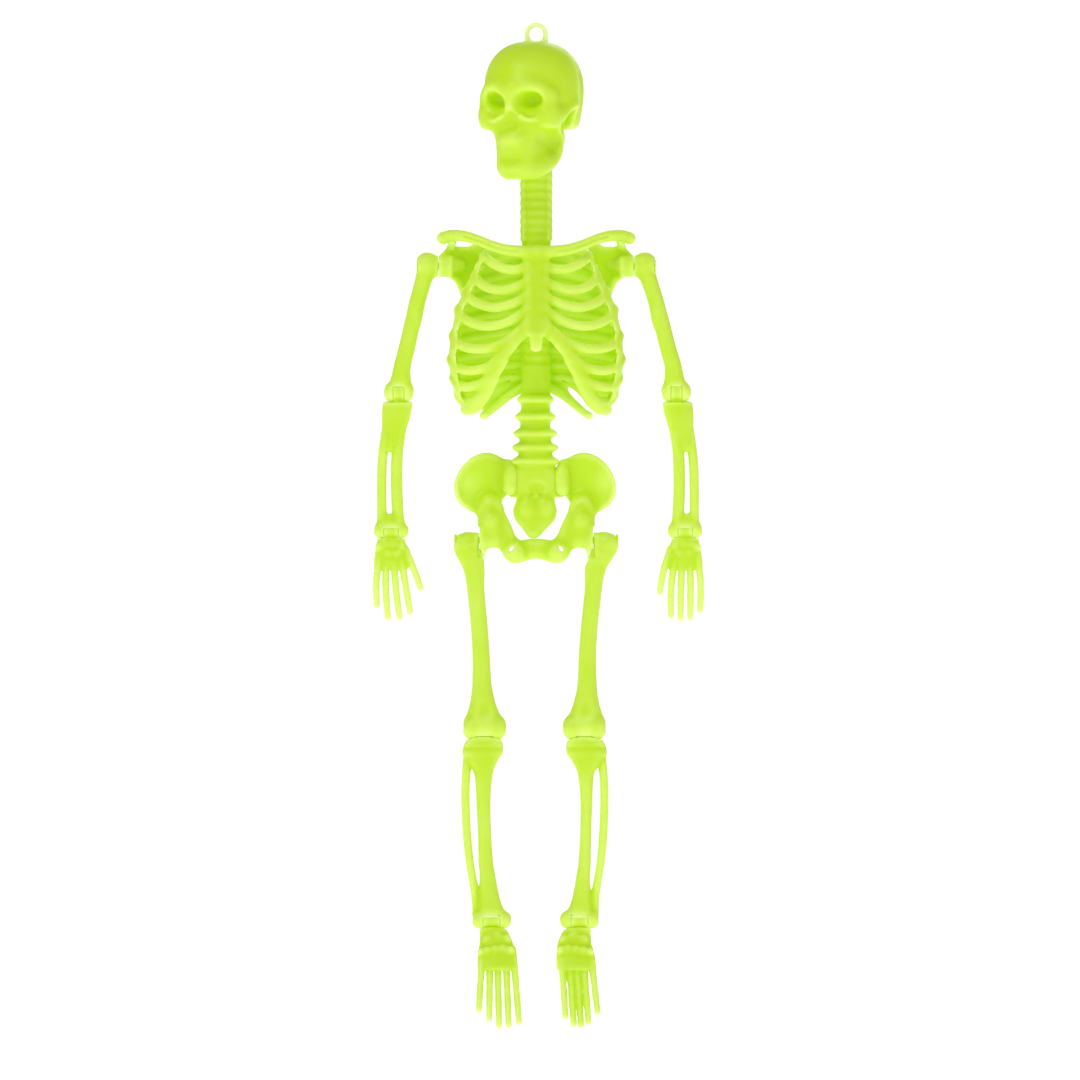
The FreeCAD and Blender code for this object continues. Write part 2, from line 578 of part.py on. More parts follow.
def inner_side(name, side, face, bottom, top):
    """A block that takes everything nearer the middle plane than a socket's face."""
    low, high = ("0", face) if side > 0 else (f"-({face})", "0")
    return block(name, low, high, -20, 20, bottom, top)


def arm(name, side):
    y = number("limb_y")
    elbow, wrist = number(f"elbow_x_{name}"), number(f"wrist_x_{name}")
    elbow_z, wrist_z = number("elbow_z"), number("wrist_z")
    elbow_joint = hinge("elbow", name, side)
    wrist_joint = hinge("wrist", name, side)
    shoulder_cuts, shoulder_pin = swivel_pin("shoulder", name, side, 38.4)

    upper = shaft(f"humerus_shaft_{name}", side, (35.3, y, -75.0), (elbow, y, elbow_z + 1.6), "humerus_radius", [
        (0.0, 0.0, 1.30), (0.11, 0.0, 1.08), (0.25, 0.1, 0.97), (0.46, 0.4, 1.0), (0.68, 0.3, 1.06),
        (0.86, 0.2, 1.15), (1.0, 0.0, 1.5)])
    head = ball(f"humerus_head_{name}", f"{side} * {d('shoulder_ball_x')}", y, d("shoulder_ball_z"),
                d("shoulder_ball"))
    collar = cross_rod(f"humerus_collar_{name}", side, f"{d('shoulder_face')} + {d('gap')}", 34.5, y,
                       d("shoulder_z"), d("shoulder_radius"))
    trimmed = cut(f"humerus_trim_{name}", fuse(f"humerus_top_{name}", [upper, head]),
                  [inner_side(f"shoulder_plane_{name}", side, f"{d('shoulder_face')} + {d('gap')}",
                              -100, -60)])
    humerus = fuse(f"humerus_whole_{name}", [trimmed, collar, elbow_joint["knuckle"]])
    node(f"humerus_{name}", cut(f"humerus_cut_{name}", humerus, [*elbow_joint["fork_cuts"], *shoulder_cuts]))
    node(f"shoulder_pin_{name}", shoulder_pin)
    node(f"elbow_pin_{name}", elbow_joint["pin"])

    head_block = loft(f"forearm_head_{name}", [
        (side * (elbow + 0.2), y, elbow_z - 1.0, 4.3, 2.3), (side * (elbow + 0.6), y, elbow_z - 6.3, 4.6, 2.5),
        (side * (elbow + 1.4), y, elbow_z - 12.0, 3.9, 2.2), (side * (elbow + 1.9), y, elbow_z - 16.5, 3.9, 1.9)])
    foot_block = loft(f"forearm_foot_{name}", [
        (side * (wrist + 0.2), y, wrist_z + 4.6, 3.9, 1.8), (side * wrist, y, wrist_z, 5.2, 2.1)])
    bow = [(0.0, 0.0, 1.0), (0.5, 0.8, 0.95), (1.0, 0.0, 1.1)]
    outer_bone = shaft(f"outer_shaft_{name}", side, (elbow + 3.9, y, elbow_z - 12.0),
                       (wrist + 2.5, y, wrist_z + 1.0), "outer_bone", bow)
    inner_bone = shaft(f"inner_shaft_{name}", side, (elbow - 0.3, y, elbow_z - 12.0),
                       (wrist - 2.2, y, wrist_z + 1.0), "inner_bone", bow)
    forearm = fuse(f"forearm_whole_{name}", [
        hang_on(f"forearm_head_{name}", head_block, elbow_joint),
        outer_bone, inner_bone, foot_block, wrist_joint["knuckle"]])
    node(f"forearm_{name}", cut(f"forearm_cut_{name}", forearm, wrist_joint["fork_cuts"]))
    node(f"wrist_pin_{name}", wrist_joint["pin"])

    palm = loft(f"palm_{name}", [
        (side * wrist, y, wrist_z - 0.6, 4.6, 1.9), (side * wrist, y, wrist_z - 4.0, 4.7, 1.9),
        (side * (wrist + 0.1), y - 0.3, wrist_z - 10.0, 5.7, 1.5)])
    digits = [chain(f"digit{i}_{name}", [(side * a, y, za), (side * (a + b) / 2, y - 0.7, (za + zb) / 2),
                                         (side * b, y - 0.6, zb)], d("digit_radius"))
              for i, (a, za, b, zb) in enumerate(HAND[name])]
    node(f"hand_{name}", fuse(f"hand_whole_{name}", [hang_on(f"palm_{name}", palm, wrist_joint), *digits]))


HAND = {  # each digit from little finger to thumb: x and z at its root, x and z at its tip
    "right": [(50.6, -167.5, 51.0, -182.2), (48.3, -168, 47.4, -185.6), (45.7, -168, 43.7, -186.0),
              (43.2, -167.5, 40.4, -183.6), (41.9, -165.5, 37.4, -176.2)],
    "left": [(51.9, -167.5, 52.7, -183.8), (49.4, -168, 49.6, -186.6), (46.8, -168, 46.4, -187.0),
             (44.3, -167.5, 43.4, -186.0), (43.0, -165.5, 40.0, -178.2)],
}
FOOT = {  # each toe from little toe to big toe: x at its root, x and z at its tip
    "right": [(17.3, 17.7, -311.4), (14.7, 14.7, -314.4), (12.0, 11.8, -316.0), (9.3, 8.8, -316.8),
              (6.9, 5.7, -314.8)],
    "left": [(17.3, 19.5, -313.4), (14.7, 16.1, -316.0), (12.3, 13.4, -316.4), (10.0, 11.0, -315.4),
             (7.9, 8.6, -311.6)],
}


def leg(name, side):
    y = number("limb_y")
    knee, ankle = number(f"knee_x_{name}"), number(f"ankle_x_{name}")
    knee_z, ankle_z = number("knee_z"), number("ankle_z")
    knee_joint = hinge("knee", name, side)
    ankle_joint = hinge("ankle", name, side)
    hip_cuts, hip_pin = swivel_pin("hip", name, side, 26.4)

    upper = shaft(f"femur_shaft_{name}", side, (21.8, y, -164.4), (knee, y, knee_z + 2.6), "femur_radius", [
        (0.0, 0.0, 1.45), (0.08, -0.4, 1.36), (0.155, -0.9, 1.12), (0.26, -1.0, 0.98), (0.47, -1.0, 1.0),
        (0.65, -0.7, 1.03), (0.81, -0.2, 1.16), (0.91, 0.0, 1.5), (1.0, 0.0, 2.1)])
    head = ball(f"trochanter_{name}", f"{side} * {d('trochanter_x')}", y, d("trochanter_z"),
                d("trochanter_radius"))
    collar = cross_rod(f"femur_collar_{name}", side, f"{d('hip_face')} + {d('gap')}", 22.5, y, d("hip_z"),
                       d("hip_radius"))
    hip_side = inner_side(f"hip_plane_{name}", side, f"{d('hip_face')} + {d('gap')}", -168.5, -150)
    trimmed = cut(f"femur_trim_{name}", fuse(f"femur_top_{name}", [upper, head]), [hip_side])
    femur = fuse(f"femur_whole_{name}", [trimmed, collar, knee_joint["knuckle"]])
    node(f"femur_{name}", cut(f"femur_cut_{name}", femur, [*knee_joint["fork_cuts"], *hip_cuts]))
    node(f"hip_pin_{name}", hip_pin)
    node(f"knee_pin_{name}", knee_joint["pin"])

    plateau = loft(f"plateau_{name}", [
        (side * (knee + 0.2), y, knee_z - 2.0, 6.4, 2.9), (side * (knee + 0.6), y, knee_z - 7.6, 6.5, 3.2),
        (side * (knee + 1.1), y, knee_z - 11.0, 5.6, 2.8), (side * (knee + 1.3), y, knee_z - 14.0, 4.6, 2.3)])
    tibia = shaft(f"tibia_shaft_{name}", side, (knee + 0.4, y, knee_z - 9.0), (ankle + 0.6, y, ankle_z + 2.6),
                  "tibia_bone", [(0.0, 0.0, 1.9), (0.125, 0.0, 1.3), (0.29, 0.5, 1.0), (0.5, 0.7, 0.98),
                                 (0.7, 0.6, 1.06), (0.83, 0.3, 1.3), (1.0, 0.0, 2.1)])
    fibula = shaft(f"fibula_shaft_{name}", side, (knee + 5.4, y + 0.6, knee_z - 9.0),
                   (ankle + 4.6, y + 0.4, ankle_z + 2.6), "fibula_bone",
                   [(0.0, 0.0, 1.1), (0.3, 1.5, 1.0), (0.55, 1.8, 1.0), (0.8, 1.3, 1.0), (1.0, 0.0, 1.3)])
    shin = fuse(f"shin_whole_{name}", [hang_on(f"plateau_{name}", plateau, knee_joint),
                                       tibia, fibula, ankle_joint["knuckle"]])
    node(f"shin_{name}", cut(f"shin_cut_{name}", shin, ankle_joint["fork_cuts"]))
    node(f"ankle_pin_{name}", ankle_joint["pin"])

    instep = loft(f"instep_{name}", [
        (side * ankle, y, ankle_z - 0.6, 4.2, 2.4), (side * (ankle - 0.9), y - 0.4, ankle_z - 5.2, 5.0, 2.5),
        (side * (ankle - 1.6), y - 3.4, ankle_z - 10.0, 5.8, 2.2),
        (side * (ankle - 2.0), y - 6.0, ankle_z - 14.6, 6.4, 1.7)])
    heel = ellipsoid(f"heel_{name}", side * (ankle - 0.6), y + 3.4, ankle_z - 6.6, 3.0, 4.2, 2.8)
    toes = [chain(f"toe{i}_{name}", [(side * a, y - 5.6, ankle_z - 13.4),
                                     (side * (a + b) / 2, y - 9.0, (ankle_z - 13.4 + zb) / 2),
                                     (side * b, y - 11.4, zb)], d("toe_radius"))
            for i, (a, b, zb) in enumerate(FOOT[name])]
    foot = hang_on(f"instep_{name}", fuse(f"foot_top_{name}", [instep, heel]), ankle_joint)
    node(f"foot_{name}", fuse(f"foot_whole_{name}", [foot, *toes]))


# ---------------------------------------------------------------- build and write
hanging_ring()
skull()
spine()
rib_cage()
pelvis()
for side_name, side_sign in SIDES.items():
    arm(side_name, side_sign)
    leg(side_name, side_sign)
doc.recompute()

failed = [o.Name for o in doc.Objects if "Invalid" in o.State or "Error" in o.State]
if failed:
    raise SystemExit(f"these objects failed: {failed}")
os.makedirs("parts", exist_ok=True)
for label, made in nodes.items():
    shape = made.Shape
    if shape.isNull() or not shape.isValid() or not shape.Solids:
        raise SystemExit(f"{label} has no valid solid")
    shape.exportStep(f"parts/{label}.step")
    box = shape.BoundBox
    print(f"{label:20s} solids {len(shape.Solids)} volume {shape.Volume:9.1f}"
          f"  x {box.XMin:7.2f} {box.XMax:7.2f}  y {box.YMin:7.2f} {box.YMax:7.2f}"
          f"  z {box.ZMin:7.2f} {box.ZMax:7.2f}")
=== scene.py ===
import json
import math
from typing import NamedTuple

import bpy
import numpy as np
import openvdb
from mathutils import Matrix, Vector


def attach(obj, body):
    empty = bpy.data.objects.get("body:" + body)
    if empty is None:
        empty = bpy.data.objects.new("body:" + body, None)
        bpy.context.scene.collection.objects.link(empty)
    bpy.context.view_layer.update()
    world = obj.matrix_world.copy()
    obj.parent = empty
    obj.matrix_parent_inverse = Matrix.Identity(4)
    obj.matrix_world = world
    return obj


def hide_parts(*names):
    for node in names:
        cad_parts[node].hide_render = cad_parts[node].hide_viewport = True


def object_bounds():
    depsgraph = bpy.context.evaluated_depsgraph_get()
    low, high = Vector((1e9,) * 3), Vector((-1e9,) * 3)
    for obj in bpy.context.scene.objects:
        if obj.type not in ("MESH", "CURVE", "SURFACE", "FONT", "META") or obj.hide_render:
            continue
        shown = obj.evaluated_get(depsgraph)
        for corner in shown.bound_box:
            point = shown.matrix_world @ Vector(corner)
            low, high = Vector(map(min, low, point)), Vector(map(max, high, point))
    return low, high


# The looks of the hanging skeleton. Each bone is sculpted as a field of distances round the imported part's
# own pivots, in millimetres, and then turned into a mesh in metres. -Y is the figure's front.

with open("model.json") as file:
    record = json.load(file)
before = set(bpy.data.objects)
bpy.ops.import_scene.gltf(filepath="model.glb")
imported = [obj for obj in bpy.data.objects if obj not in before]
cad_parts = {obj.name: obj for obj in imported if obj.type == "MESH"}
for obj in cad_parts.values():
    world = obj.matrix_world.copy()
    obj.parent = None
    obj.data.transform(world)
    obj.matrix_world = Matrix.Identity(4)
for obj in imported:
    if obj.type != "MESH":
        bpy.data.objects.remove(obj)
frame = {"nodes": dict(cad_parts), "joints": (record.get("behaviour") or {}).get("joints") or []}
cad_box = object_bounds()

MM = 0.001
SIDES = {"right": -1, "left": 1}
PIVOT = {joint["name"]: np.array(joint["pos_m"]) / MM for joint in frame["joints"]}
LIMB_Y = PIVOT["shoulder_swing_left"][1]
HEAD_TURN = math.radians(-26)
GAP = 0.2          # between bones of different bodies
FAR = 9.0          # distance that stands for empty space
PAINTED_LIGHT_REACH = 1.0   # half the width of the box that the plastic is averaged over for the painted light mask, used twice


# ------------------------------------------------------------------ distance shapes
class Shape:
    """A distance function and the box it fills."""

    def __init__(self, low, high, distance):
        self.low = np.array(low, float)
        self.high = np.array(high, float)
        self.distance = distance


def eased(knots, values, at):
    """A smooth curve through values at rising knots that never overshoots them."""
    knots = np.asarray(knots, float)
    values = np.asarray(values, float)
    step = np.diff(knots)
    rise = np.diff(values) / step
    slope = np.zeros(len(knots))
    slope[0], slope[-1] = rise[0], rise[-1]
    before, after = rise[:-1], rise[1:]
    same_way = before * after > 0
    mean = 2 * before * after / np.where(same_way, before + after, 1)
    slope[1:-1] = np.where(same_way, mean, 0)
    index = np.clip(np.searchsorted(knots, at) - 1, 0, len(step) - 1)
    t = np.clip((at - knots[index]) / step[index], 0, 1)
    lead = (1 + 2 * t) * (1 - t) ** 2 * values[index] + t * (1 - t) ** 2 * step[index] * slope[index]
    follow = t * t * (3 - 2 * t) * values[index + 1] + t * t * (t - 1) * step[index] * slope[index + 1]
    return lead + follow


def rounded(side, end, edge):
    """Joins a side distance and an end distance with an edge of that radius."""
    side, end = side + edge, end + edge
    outside = np.hypot(np.maximum(side, 0), np.maximum(end, 0))
    return np.minimum(np.maximum(side, end), 0) + outside - edge


def oval(across, along, half_across, half_along, power=2.0):
    """Distance from an ellipse, or from a squarer oval when the power is above 2."""
    u, v = np.abs(across / half_across), np.abs(along / half_along)
    size = (u ** power + v ** power) ** (1 / power) + 1e-9
    steep = np.hypot((u / size) ** (power - 1) / half_across, (v / size) ** (power - 1) / half_along)
    return (size - 1) / np.maximum(steep, 1e-6)


def egg(centre, radii, turn=None, power=2.0):
    """An ellipsoid. A power above 2 gives it a flatter top and fuller sides."""
    centre, radii = np.array(centre, float), np.array(radii, float)
    reach = radii if turn is None else np.full(3, radii.max())
    back = None if turn is None else np.array(turn.transposed())

    def distance(x, y, z):
        dx, dy, dz = x - centre[0], y - centre[1], z - centre[2]
        if back is not None:
            dx, dy, dz = (row[0] * dx + row[1] * dy + row[2] * dz for row in back)
        flat = np.sqrt((dx / radii[0]) ** 2 + (dy / radii[1]) ** 2)
        tall = np.abs(dz / radii[2])
        size = (flat ** power + tall ** power) ** (1 / power) + 1e-9
        steep = np.sqrt((dx / radii[0] ** 2) ** 2 + (dy / radii[1] ** 2) ** 2 + (dz / radii[2] ** 2) ** 2)
        return (size - 1) / np.maximum(steep / size, 1e-3)

    return Shape(centre - reach, centre + reach, distance)


def limb(rows, edge=0.8, power=2.0, ripple=None):
    """A solid through level ovals, each given as z, x, y, half width and half depth.

    A ripple swells it by an amount at a pitch, counted down from a height."""
    z_knots, *columns = (np.array(column, float) for column in zip(*sorted(rows)))
    x_mid, y_mid, wide, deep = columns
    swell = ripple[0] if ripple else 0

    def distance(x, y, z):
        at = z.ravel()
        cx, cy, half_x, half_y = (eased(z_knots, column, at).reshape(z.shape) for column in columns)
        if ripple:
            wave = ripple[0] * np.cos(2 * np.pi * (z - ripple[2]) / ripple[1])
            half_x, half_y = half_x + wave, half_y + wave
        side = oval(x - cx, y - cy, half_x, half_y, power)
        end = np.maximum(z_knots[0] - z, z - z_knots[-1])
        return rounded(side, end, edge)

    low = (np.min(x_mid - wide) - swell, np.min(y_mid - deep) - swell, z_knots[0])
    high = (np.max(x_mid + wide) + swell, np.max(y_mid + deep) + swell, z_knots[-1])
    return Shape(low, high, distance)


def flowing(points, per_span=5):
    """Points along a smooth curve through the given points, radii included as a last column."""
    points = np.array(points, float)
    padded = np.vstack([2 * points[0] - points[1], points, 2 * points[-1] - points[-2]])
    out = []
    for a, b, c, d in zip(padded, padded[1:], padded[2:], padded[3:]):
        for t in np.arange(per_span) / per_span:
            out.append(0.5 * (2 * b + (c - a) * t + (2 * a - 5 * b + 4 * c - d) * t ** 2
                              + (3 * b - a - 3 * c + d) * t ** 3))
    return np.array(out + [points[-1]])


def tube(points, radius=None, per_span=5, flat=1.0):
    """A round bar along a smooth curve. Points are x, y, z, or x, y, z, radius. flat squashes it in y."""
    points = [tuple(p) + (() if radius is None else (radius,)) for p in points]
    line = flowing(points, per_span)

    def distance(x, y, z):
        best = None
        for start, end in zip(line, line[1:]):
            ab = (end[:3] - start[:3]) * (1, 1 / flat, 1)
            px, py, pz = x - start[0], (y - start[1]) / flat, z - start[2]
            t = np.clip((px * ab[0] + py * ab[1] + pz * ab[2]) / max(ab @ ab, 1e-9), 0, 1)
            gap = np.sqrt((px - t * ab[0]) ** 2 + (py - t * ab[1]) ** 2 + (pz - t * ab[2]) ** 2)
            here = gap - (start[3] + (end[3] - start[3]) * t)
            best = here if best is None else np.minimum(best, here)
        return best * min(flat, 1.0)

    widest = line[:, 3].max()
    return Shape(line[:, :3].min(0) - widest, line[:, :3].max(0) + widest, distance)


def rod(centre, radius, half, axis=0, edge=0.4):
    """A cylinder along one axis with rounded edges."""
    centre = np.array(centre, float)
    reach = np.full(3, float(radius))
    reach[axis] = half
    others = [i for i in range(3) if i != axis]

    def distance(*point):
        offset = [p - c for p, c in zip(point, centre)]
        side = np.hypot(offset[others[0]], offset[others[1]]) - radius
        return rounded(side, np.abs(offset[axis]) - half, edge)

    return Shape(centre - reach, centre + reach, distance)


def block(low, high, edge=0.2):
    """A box with rounded edges."""
    low, high = np.minimum(low, high).astype(float), np.maximum(low, high).astype(float)
    middle, half = (low + high) / 2, (high - low) / 2

    def distance(x, y, z):
        dx, dy, dz = (np.abs(p - m) - h + edge for p, m, h in zip((x, y, z), middle, half))
        outside = np.sqrt(np.maximum(dx, 0) ** 2 + np.maximum(dy, 0) ** 2 + np.maximum(dz, 0) ** 2)
        return np.minimum(np.maximum(np.maximum(dx, dy), dz), 0) + outside - edge

    return Shape(low, high, distance)


def slab(outline, y, thick, lean=0.0, lean_from=0.0, edge=0.6, smooth=True):
    """A plate seen from the front as an outline of x, z points. It leans back by lean for each mm of x."""
    loop = np.array(outline, float)
    if smooth:
        count = len(loop)
        wrapped = np.vstack([loop, loop[:3]])
        loop = flowing(wrapped, 4)[4:4 * (count + 1)]
    low_x, low_z = loop.min(0)
    high_x, high_z = loop.max(0)
    squeeze = 1 / math.hypot(1, lean)

    def distance(px, py, pz):
        flat = np.full(np.broadcast_shapes(px.shape, pz.shape), 1e9)
        crossings = np.zeros(flat.shape, int)
        for (x0, z0), (x1, z1) in zip(loop, np.roll(loop, -1, 0)):
            ex, ez = x1 - x0, z1 - z0
            t = np.clip(((px - x0) * ex + (pz - z0) * ez) / max(ex * ex + ez * ez, 1e-9), 0, 1)
            flat = np.minimum(flat, np.hypot(px - x0 - t * ex, pz - z0 - t * ez))
            spans = (z0 > pz) != (z1 > pz)
            if ez:
                crossings += spans & (px < x0 + ex * (pz - z0) / ez)
        flat = np.where(crossings % 2 == 1, -flat, flat)
        end = np.abs(py - y - lean * (px - lean_from)) * squeeze - thick / 2
        return rounded(flat, end, edge)

    ends = [y + lean * (x - lean_from) for x in (low_x, high_x)]
    return Shape((low_x, min(ends) - thick, low_z), (high_x, max(ends) + thick, high_z), distance)


def mirrored(side, points):
    """Points given for the left, put on either side."""
    return [(side * p[0], *p[1:]) for p in points]


def bar(side, points, *radius, **settings):
    """A tube given for the left, put on either side."""
    return tube(mirrored(side, points), *radius, **settings)


# ------------------------------------------------------------------ clay: shapes joined on a grid
def soft_min(a, b, blend):
    """The smaller of two distances, with a fillet where they are nearly equal."""
    if blend <= 0:
        return np.minimum(a, b)
    near = np.maximum(blend - np.abs(a - b), 0) / blend
    return np.minimum(a, b) - near * near * blend / 4


class Clay:
    """A solid kept as distances on a grid. Shapes are added to it and taken from it."""

    def __init__(self, low, high, voxel):
        self.voxel = voxel
        self.low = np.array(low, float) - 3 * voxel
        counts = np.ceil((np.array(high, float) - self.low) / voxel).astype(int) + 4
        self.axes = [self.low[i] + voxel * np.arange(counts[i]) for i in range(3)]
        self.field = np.full(counts, FAR, np.float32)

    def _window(self, shape, reach):
        spans, grids = [], []
        for i, axis in enumerate(self.axes):
            first = np.searchsorted(axis, shape.low[i] - reach)
            last = np.searchsorted(axis, shape.high[i] + reach)
            spans.append(slice(first, last))
            grids.append(axis[first:last].reshape([-1 if j == i else 1 for j in range(3)]))
        return tuple(spans), grids

    def add(self, shape, blend=0.0):
        spans, grids = self._window(shape, blend + 4 * self.voxel)
        if self.field[spans].size:
            self.field[spans] = soft_min(self.field[spans], shape.distance(*grids), blend)

    def take(self, shape, blend=0.0):
        spans, grids = self._window(shape, blend + 4 * self.voxel)
        if self.field[spans].size:
            self.field[spans] = -soft_min(-self.field[spans], shape.distance(*grids), blend)

    def keep(self, inside):
        """Keeps only what lies inside a distance function of x, y, z."""
        x, y, z = (axis.reshape([-1 if j == i else 1 for j in range(3)])
                   for i, axis in enumerate(self.axes))
        self.field = np.maximum(self.field, inside(x, y, z)).astype(np.float32)

    def copy(self):
        twin = Clay.__new__(Clay)
        twin.voxel, twin.low, twin.axes = self.voxel, self.low, self.axes
        twin.field = self.field.copy()
        return twin

    def thinness_and_painted_light(self, cells_at):
        """How thin the plastic is round each place: 0 where it is thick and in hollows, 1 at the tip of a
        finger bone. The colour follows it as painted light: painted shade in hollows, painted highlight on
        ridges.
        """
        filled = np.clip(0.5 - self.field / self.voxel, 0, 1)
        reach = max(1, round(PAINTED_LIGHT_REACH / self.voxel))
        for axis in (0, 1, 2, 0, 1, 2):
            pads = [(reach + 1, reach) if i == axis else (0, 0) for i in range(3)]
            total = np.pad(filled, pads).cumsum(axis, dtype=np.float64)
            count = filled.shape[axis]
            after = total.take(range(2 * reach + 1, 2 * reach + 1 + count), axis)
            filled = ((after - total.take(range(count), axis)) / (2 * reach + 1)).astype(np.float32)
        first = np.clip(np.floor(cells_at).astype(int), 0, np.array(filled.shape) - 2)
        share = np.clip(cells_at - first, 0, 1)
        there = np.zeros(len(cells_at))
        for corner in np.ndindex(2, 2, 2):
            weight = np.prod(np.where(corner, share, 1 - share), axis=1)
            there += weight * filled[tuple((first + corner).T)]
        return np.clip(1 - there / 0.5, 0, 1)

    def mesh(self, name, turn=None):
        """A smooth-shaded object of the clay's surface, turned about the z axis when asked."""
        grid = openvdb.FloatGrid(FAR)
        grid.copyFromArray(self.field)
        cells_at, quads = grid.convertToQuads(isovalue=0.0)
        cells_at = np.array(cells_at, float)
        points = (cells_at * self.voxel + self.low) * MM
        mesh = bpy.data.meshes.new(name)
        mesh.from_pydata(points.tolist(), [], np.array(quads).tolist())
        corner = points[np.array(quads)]
        across = np.cross(corner[:, 2] - corner[:, 0], corner[:, 3] - corner[:, 1])
        if np.einsum("ij,ij->", corner.mean(1) - points.mean(0), across) < 0:
            mesh.flip_normals()
        if turn:
            mesh.transform(Matrix.Rotation(turn, 4, "Z"))
        # the painted light mask: low in hollows and thick parts for painted shade, high on ridges and thin
        # parts for painted highlight
        thin = mesh.attributes.new("thinness_and_painted_light", "FLOAT", "POINT")
        thin.data.foreach_set("value", self.thinness_and_painted_light(cells_at).astype(np.float32))
        mesh.shade_smooth()
        mesh.update()
        return new_object(name, mesh)


def new_object(name, data):
    """An object in the scene that shows the given data."""
    made = bpy.data.objects.new(name, data)
    bpy.context.scene.collection.objects.link(made)
    return made


# ------------------------------------------------------------------ materials
def set_inputs(node, **values):
    """Sets a node's sockets by name, with _ for each space."""
    for name, value in values.items():
        node.inputs[name.replace("_", " ")].default_value = value


def node_of(tree, kind, place, **settings):
    """A new shader node with its properties and sockets set."""
    made = tree.nodes.new(kind)
    made.location = place
    for key, value in settings.items():
        if hasattr(made, key):
            setattr(made, key, value)
        else:
            set_inputs(made, **{key: value})
    return made


def soft_plastic(name, deep, middle, pale, roughness):
    """Translucent moulded plastic, slightly clouded: deep where it is thick and in hollows as painted shade,
    paler where it is thin and on ridges as a painted highlight, with a painted glow.
    """
    made = bpy.data.materials.new(name)
    made.use_nodes = True
    tree = made.node_tree
    shader = tree.nodes["Principled BSDF"]
    place = node_of(tree, "ShaderNodeTexCoord", (-1300, 0))
    # painted light: this attribute turns hollows to the deep colour as painted shade and ridges to the pale
    # colour as a painted highlight
    thin = node_of(tree, "ShaderNodeAttribute", (-1100, 400), attribute_name="thinness_and_painted_light")
    clouds = node_of(tree, "ShaderNodeTexNoise", (-1100, 200), Scale=90.0, Detail=4.0, Roughness=0.55)
    cloudy = node_of(tree, "ShaderNodeMapRange", (-900, 200),
                     From_Min=0.3, From_Max=0.7, To_Min=-0.07, To_Max=0.07)
    both = node_of(tree, "ShaderNodeMath", (-700, 300), operation="ADD")
    colours = node_of(tree, "ShaderNodeValToRGB", (-500, 300))
    ramp = colours.color_ramp
    ramp.elements[0].position, ramp.elements[0].color = 0.0, (*deep, 1)
    ramp.elements[1].position, ramp.elements[1].color = 1.0, (*pale, 1)
    ramp.elements.new(0.4).color = (*middle, 1)
    flow = node_of(tree, "ShaderNodeTexNoise", (-1100, -100), Scale=160.0, Detail=2.0, Roughness=0.5)
    grain = node_of(tree, "ShaderNodeTexNoise", (-1100, -400), Scale=1500.0, Detail=3.0, Roughness=0.6)
    gloss = node_of(tree, "ShaderNodeMapRange", (-700, -50),
                    From_Min=0.3, From_Max=0.7, To_Min=roughness - 0.06, To_Max=roughness + 0.08)
    waves = node_of(tree, "ShaderNodeBump", (-500, -300), Strength=0.3, Distance=0.0002)
    grains = node_of(tree, "ShaderNodeBump", (-300, -300), Strength=0.25, Distance=0.00003)
    links = [
        (thin, "Fac", both, 0), (clouds, "Fac", cloudy, "Value"), (cloudy, "Result", both, 1),
        (both, 0, colours, "Fac"), (colours, "Color", shader, "Base Color"),
        (flow, "Fac", gloss, "Value"), (gloss, "Result", shader, "Roughness"),
        (flow, "Fac", waves, "Height"), (grain, "Fac", grains, "Height"),
        (waves, "Normal", grains, "Normal"), (grains, "Normal", shader, "Normal")]
    links += [(place, "Object", noise, "Vector") for noise in (clouds, grain, flow)]
    for source, output, target, socket in links:
        tree.links.new(source.outputs[output], target.inputs[socket])
    # painted glow: a steady emission in the plastic's own colour, the same under any lamp
    set_inputs(shader, Subsurface_Weight=0.5, Subsurface_Radius=(0.8, 1.0, 0.1), Subsurface_Scale=0.004,
               IOR=1.48, Specular_IOR_Level=0.35, Emission_Color=PAINTED_GLOW, Emission_Strength=0.2)
    return made


PAINTED_GLOW = (0.64, 1.0, 0.0, 1)   # painted glow: the plastic gives out a little light in its own colour, standing in for the day-glow pigment
# the deep colours also carry painted shade, and the pale colours, with their whiter tint, a painted highlight
# and sheen
BONE = soft_plastic("bone_plastic", (0.43, 0.61, 0.015), (0.57, 0.69, 0.15), (0.74, 0.78, 0.47), 0.40)
PIN = soft_plastic("pin_plastic", (0.38, 0.58, 0.0), (0.44, 0.62, 0.02), (0.5, 0.66, 0.1), 0.34)
LOOP = soft_plastic("loop_plastic", (0.66, 0.75, 0.30), (0.72, 0.78, 0.38), (0.78, 0.82, 0.48), 0.38)


def finish(clay, name, body, nodes, material=BONE, turn=None):
    """Makes the clay into a piece that rides on a body and stands for CAD nodes."""
    piece = clay.mesh(name, turn)
    piece.data.materials.append(material)
    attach(piece, body)
    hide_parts(*nodes)
    return piece


# ------------------------------------------------------------------ joints
class Hinge(NamedTuple):
    """A knuckle with a slot, and the round tongue that turns in it on a pin."""
    radius: float      # of the knuckle
    width: float       # of the knuckle
    roundness: float   # of the knuckle's ends
    tongue: float      # the tongue's width
    pin: float         # the pin's radius
    neck: float        # half the depth of the tongue's neck
    top: float         # height of the slot's mouth over the pivot
    opening: int       # where the slot is open: -1 in front, 1 behind, 0 both
    wall: float        # how far the slot's wall is from the pivot


HINGES = {
    "elbow": Hinge(3.0, 9.3, 2.3, 3.5, 0.9, 1.6, 1.75, -1, 2.2),
    "wrist": Hinge(2.3, 10.9, 1.8, 4.6, 0.75, 1.3, 0.2, 0, 0),
    "knee": Hinge(4.0, 13.7, 3.0, 5.2, 1.2, 1.9, 1.5, 1, 2.65),
    "ankle": Hinge(2.8, 12.4, 2.2, 5.4, 0.9, 1.5, 0.5, -1, 2.15),
}
PLAY = 0.1               # the round tongue fills its round slot but for this
HINGE_HEAD_DEPTH = 0.9   # how deep the pin's head lies in the knuckle's outer end


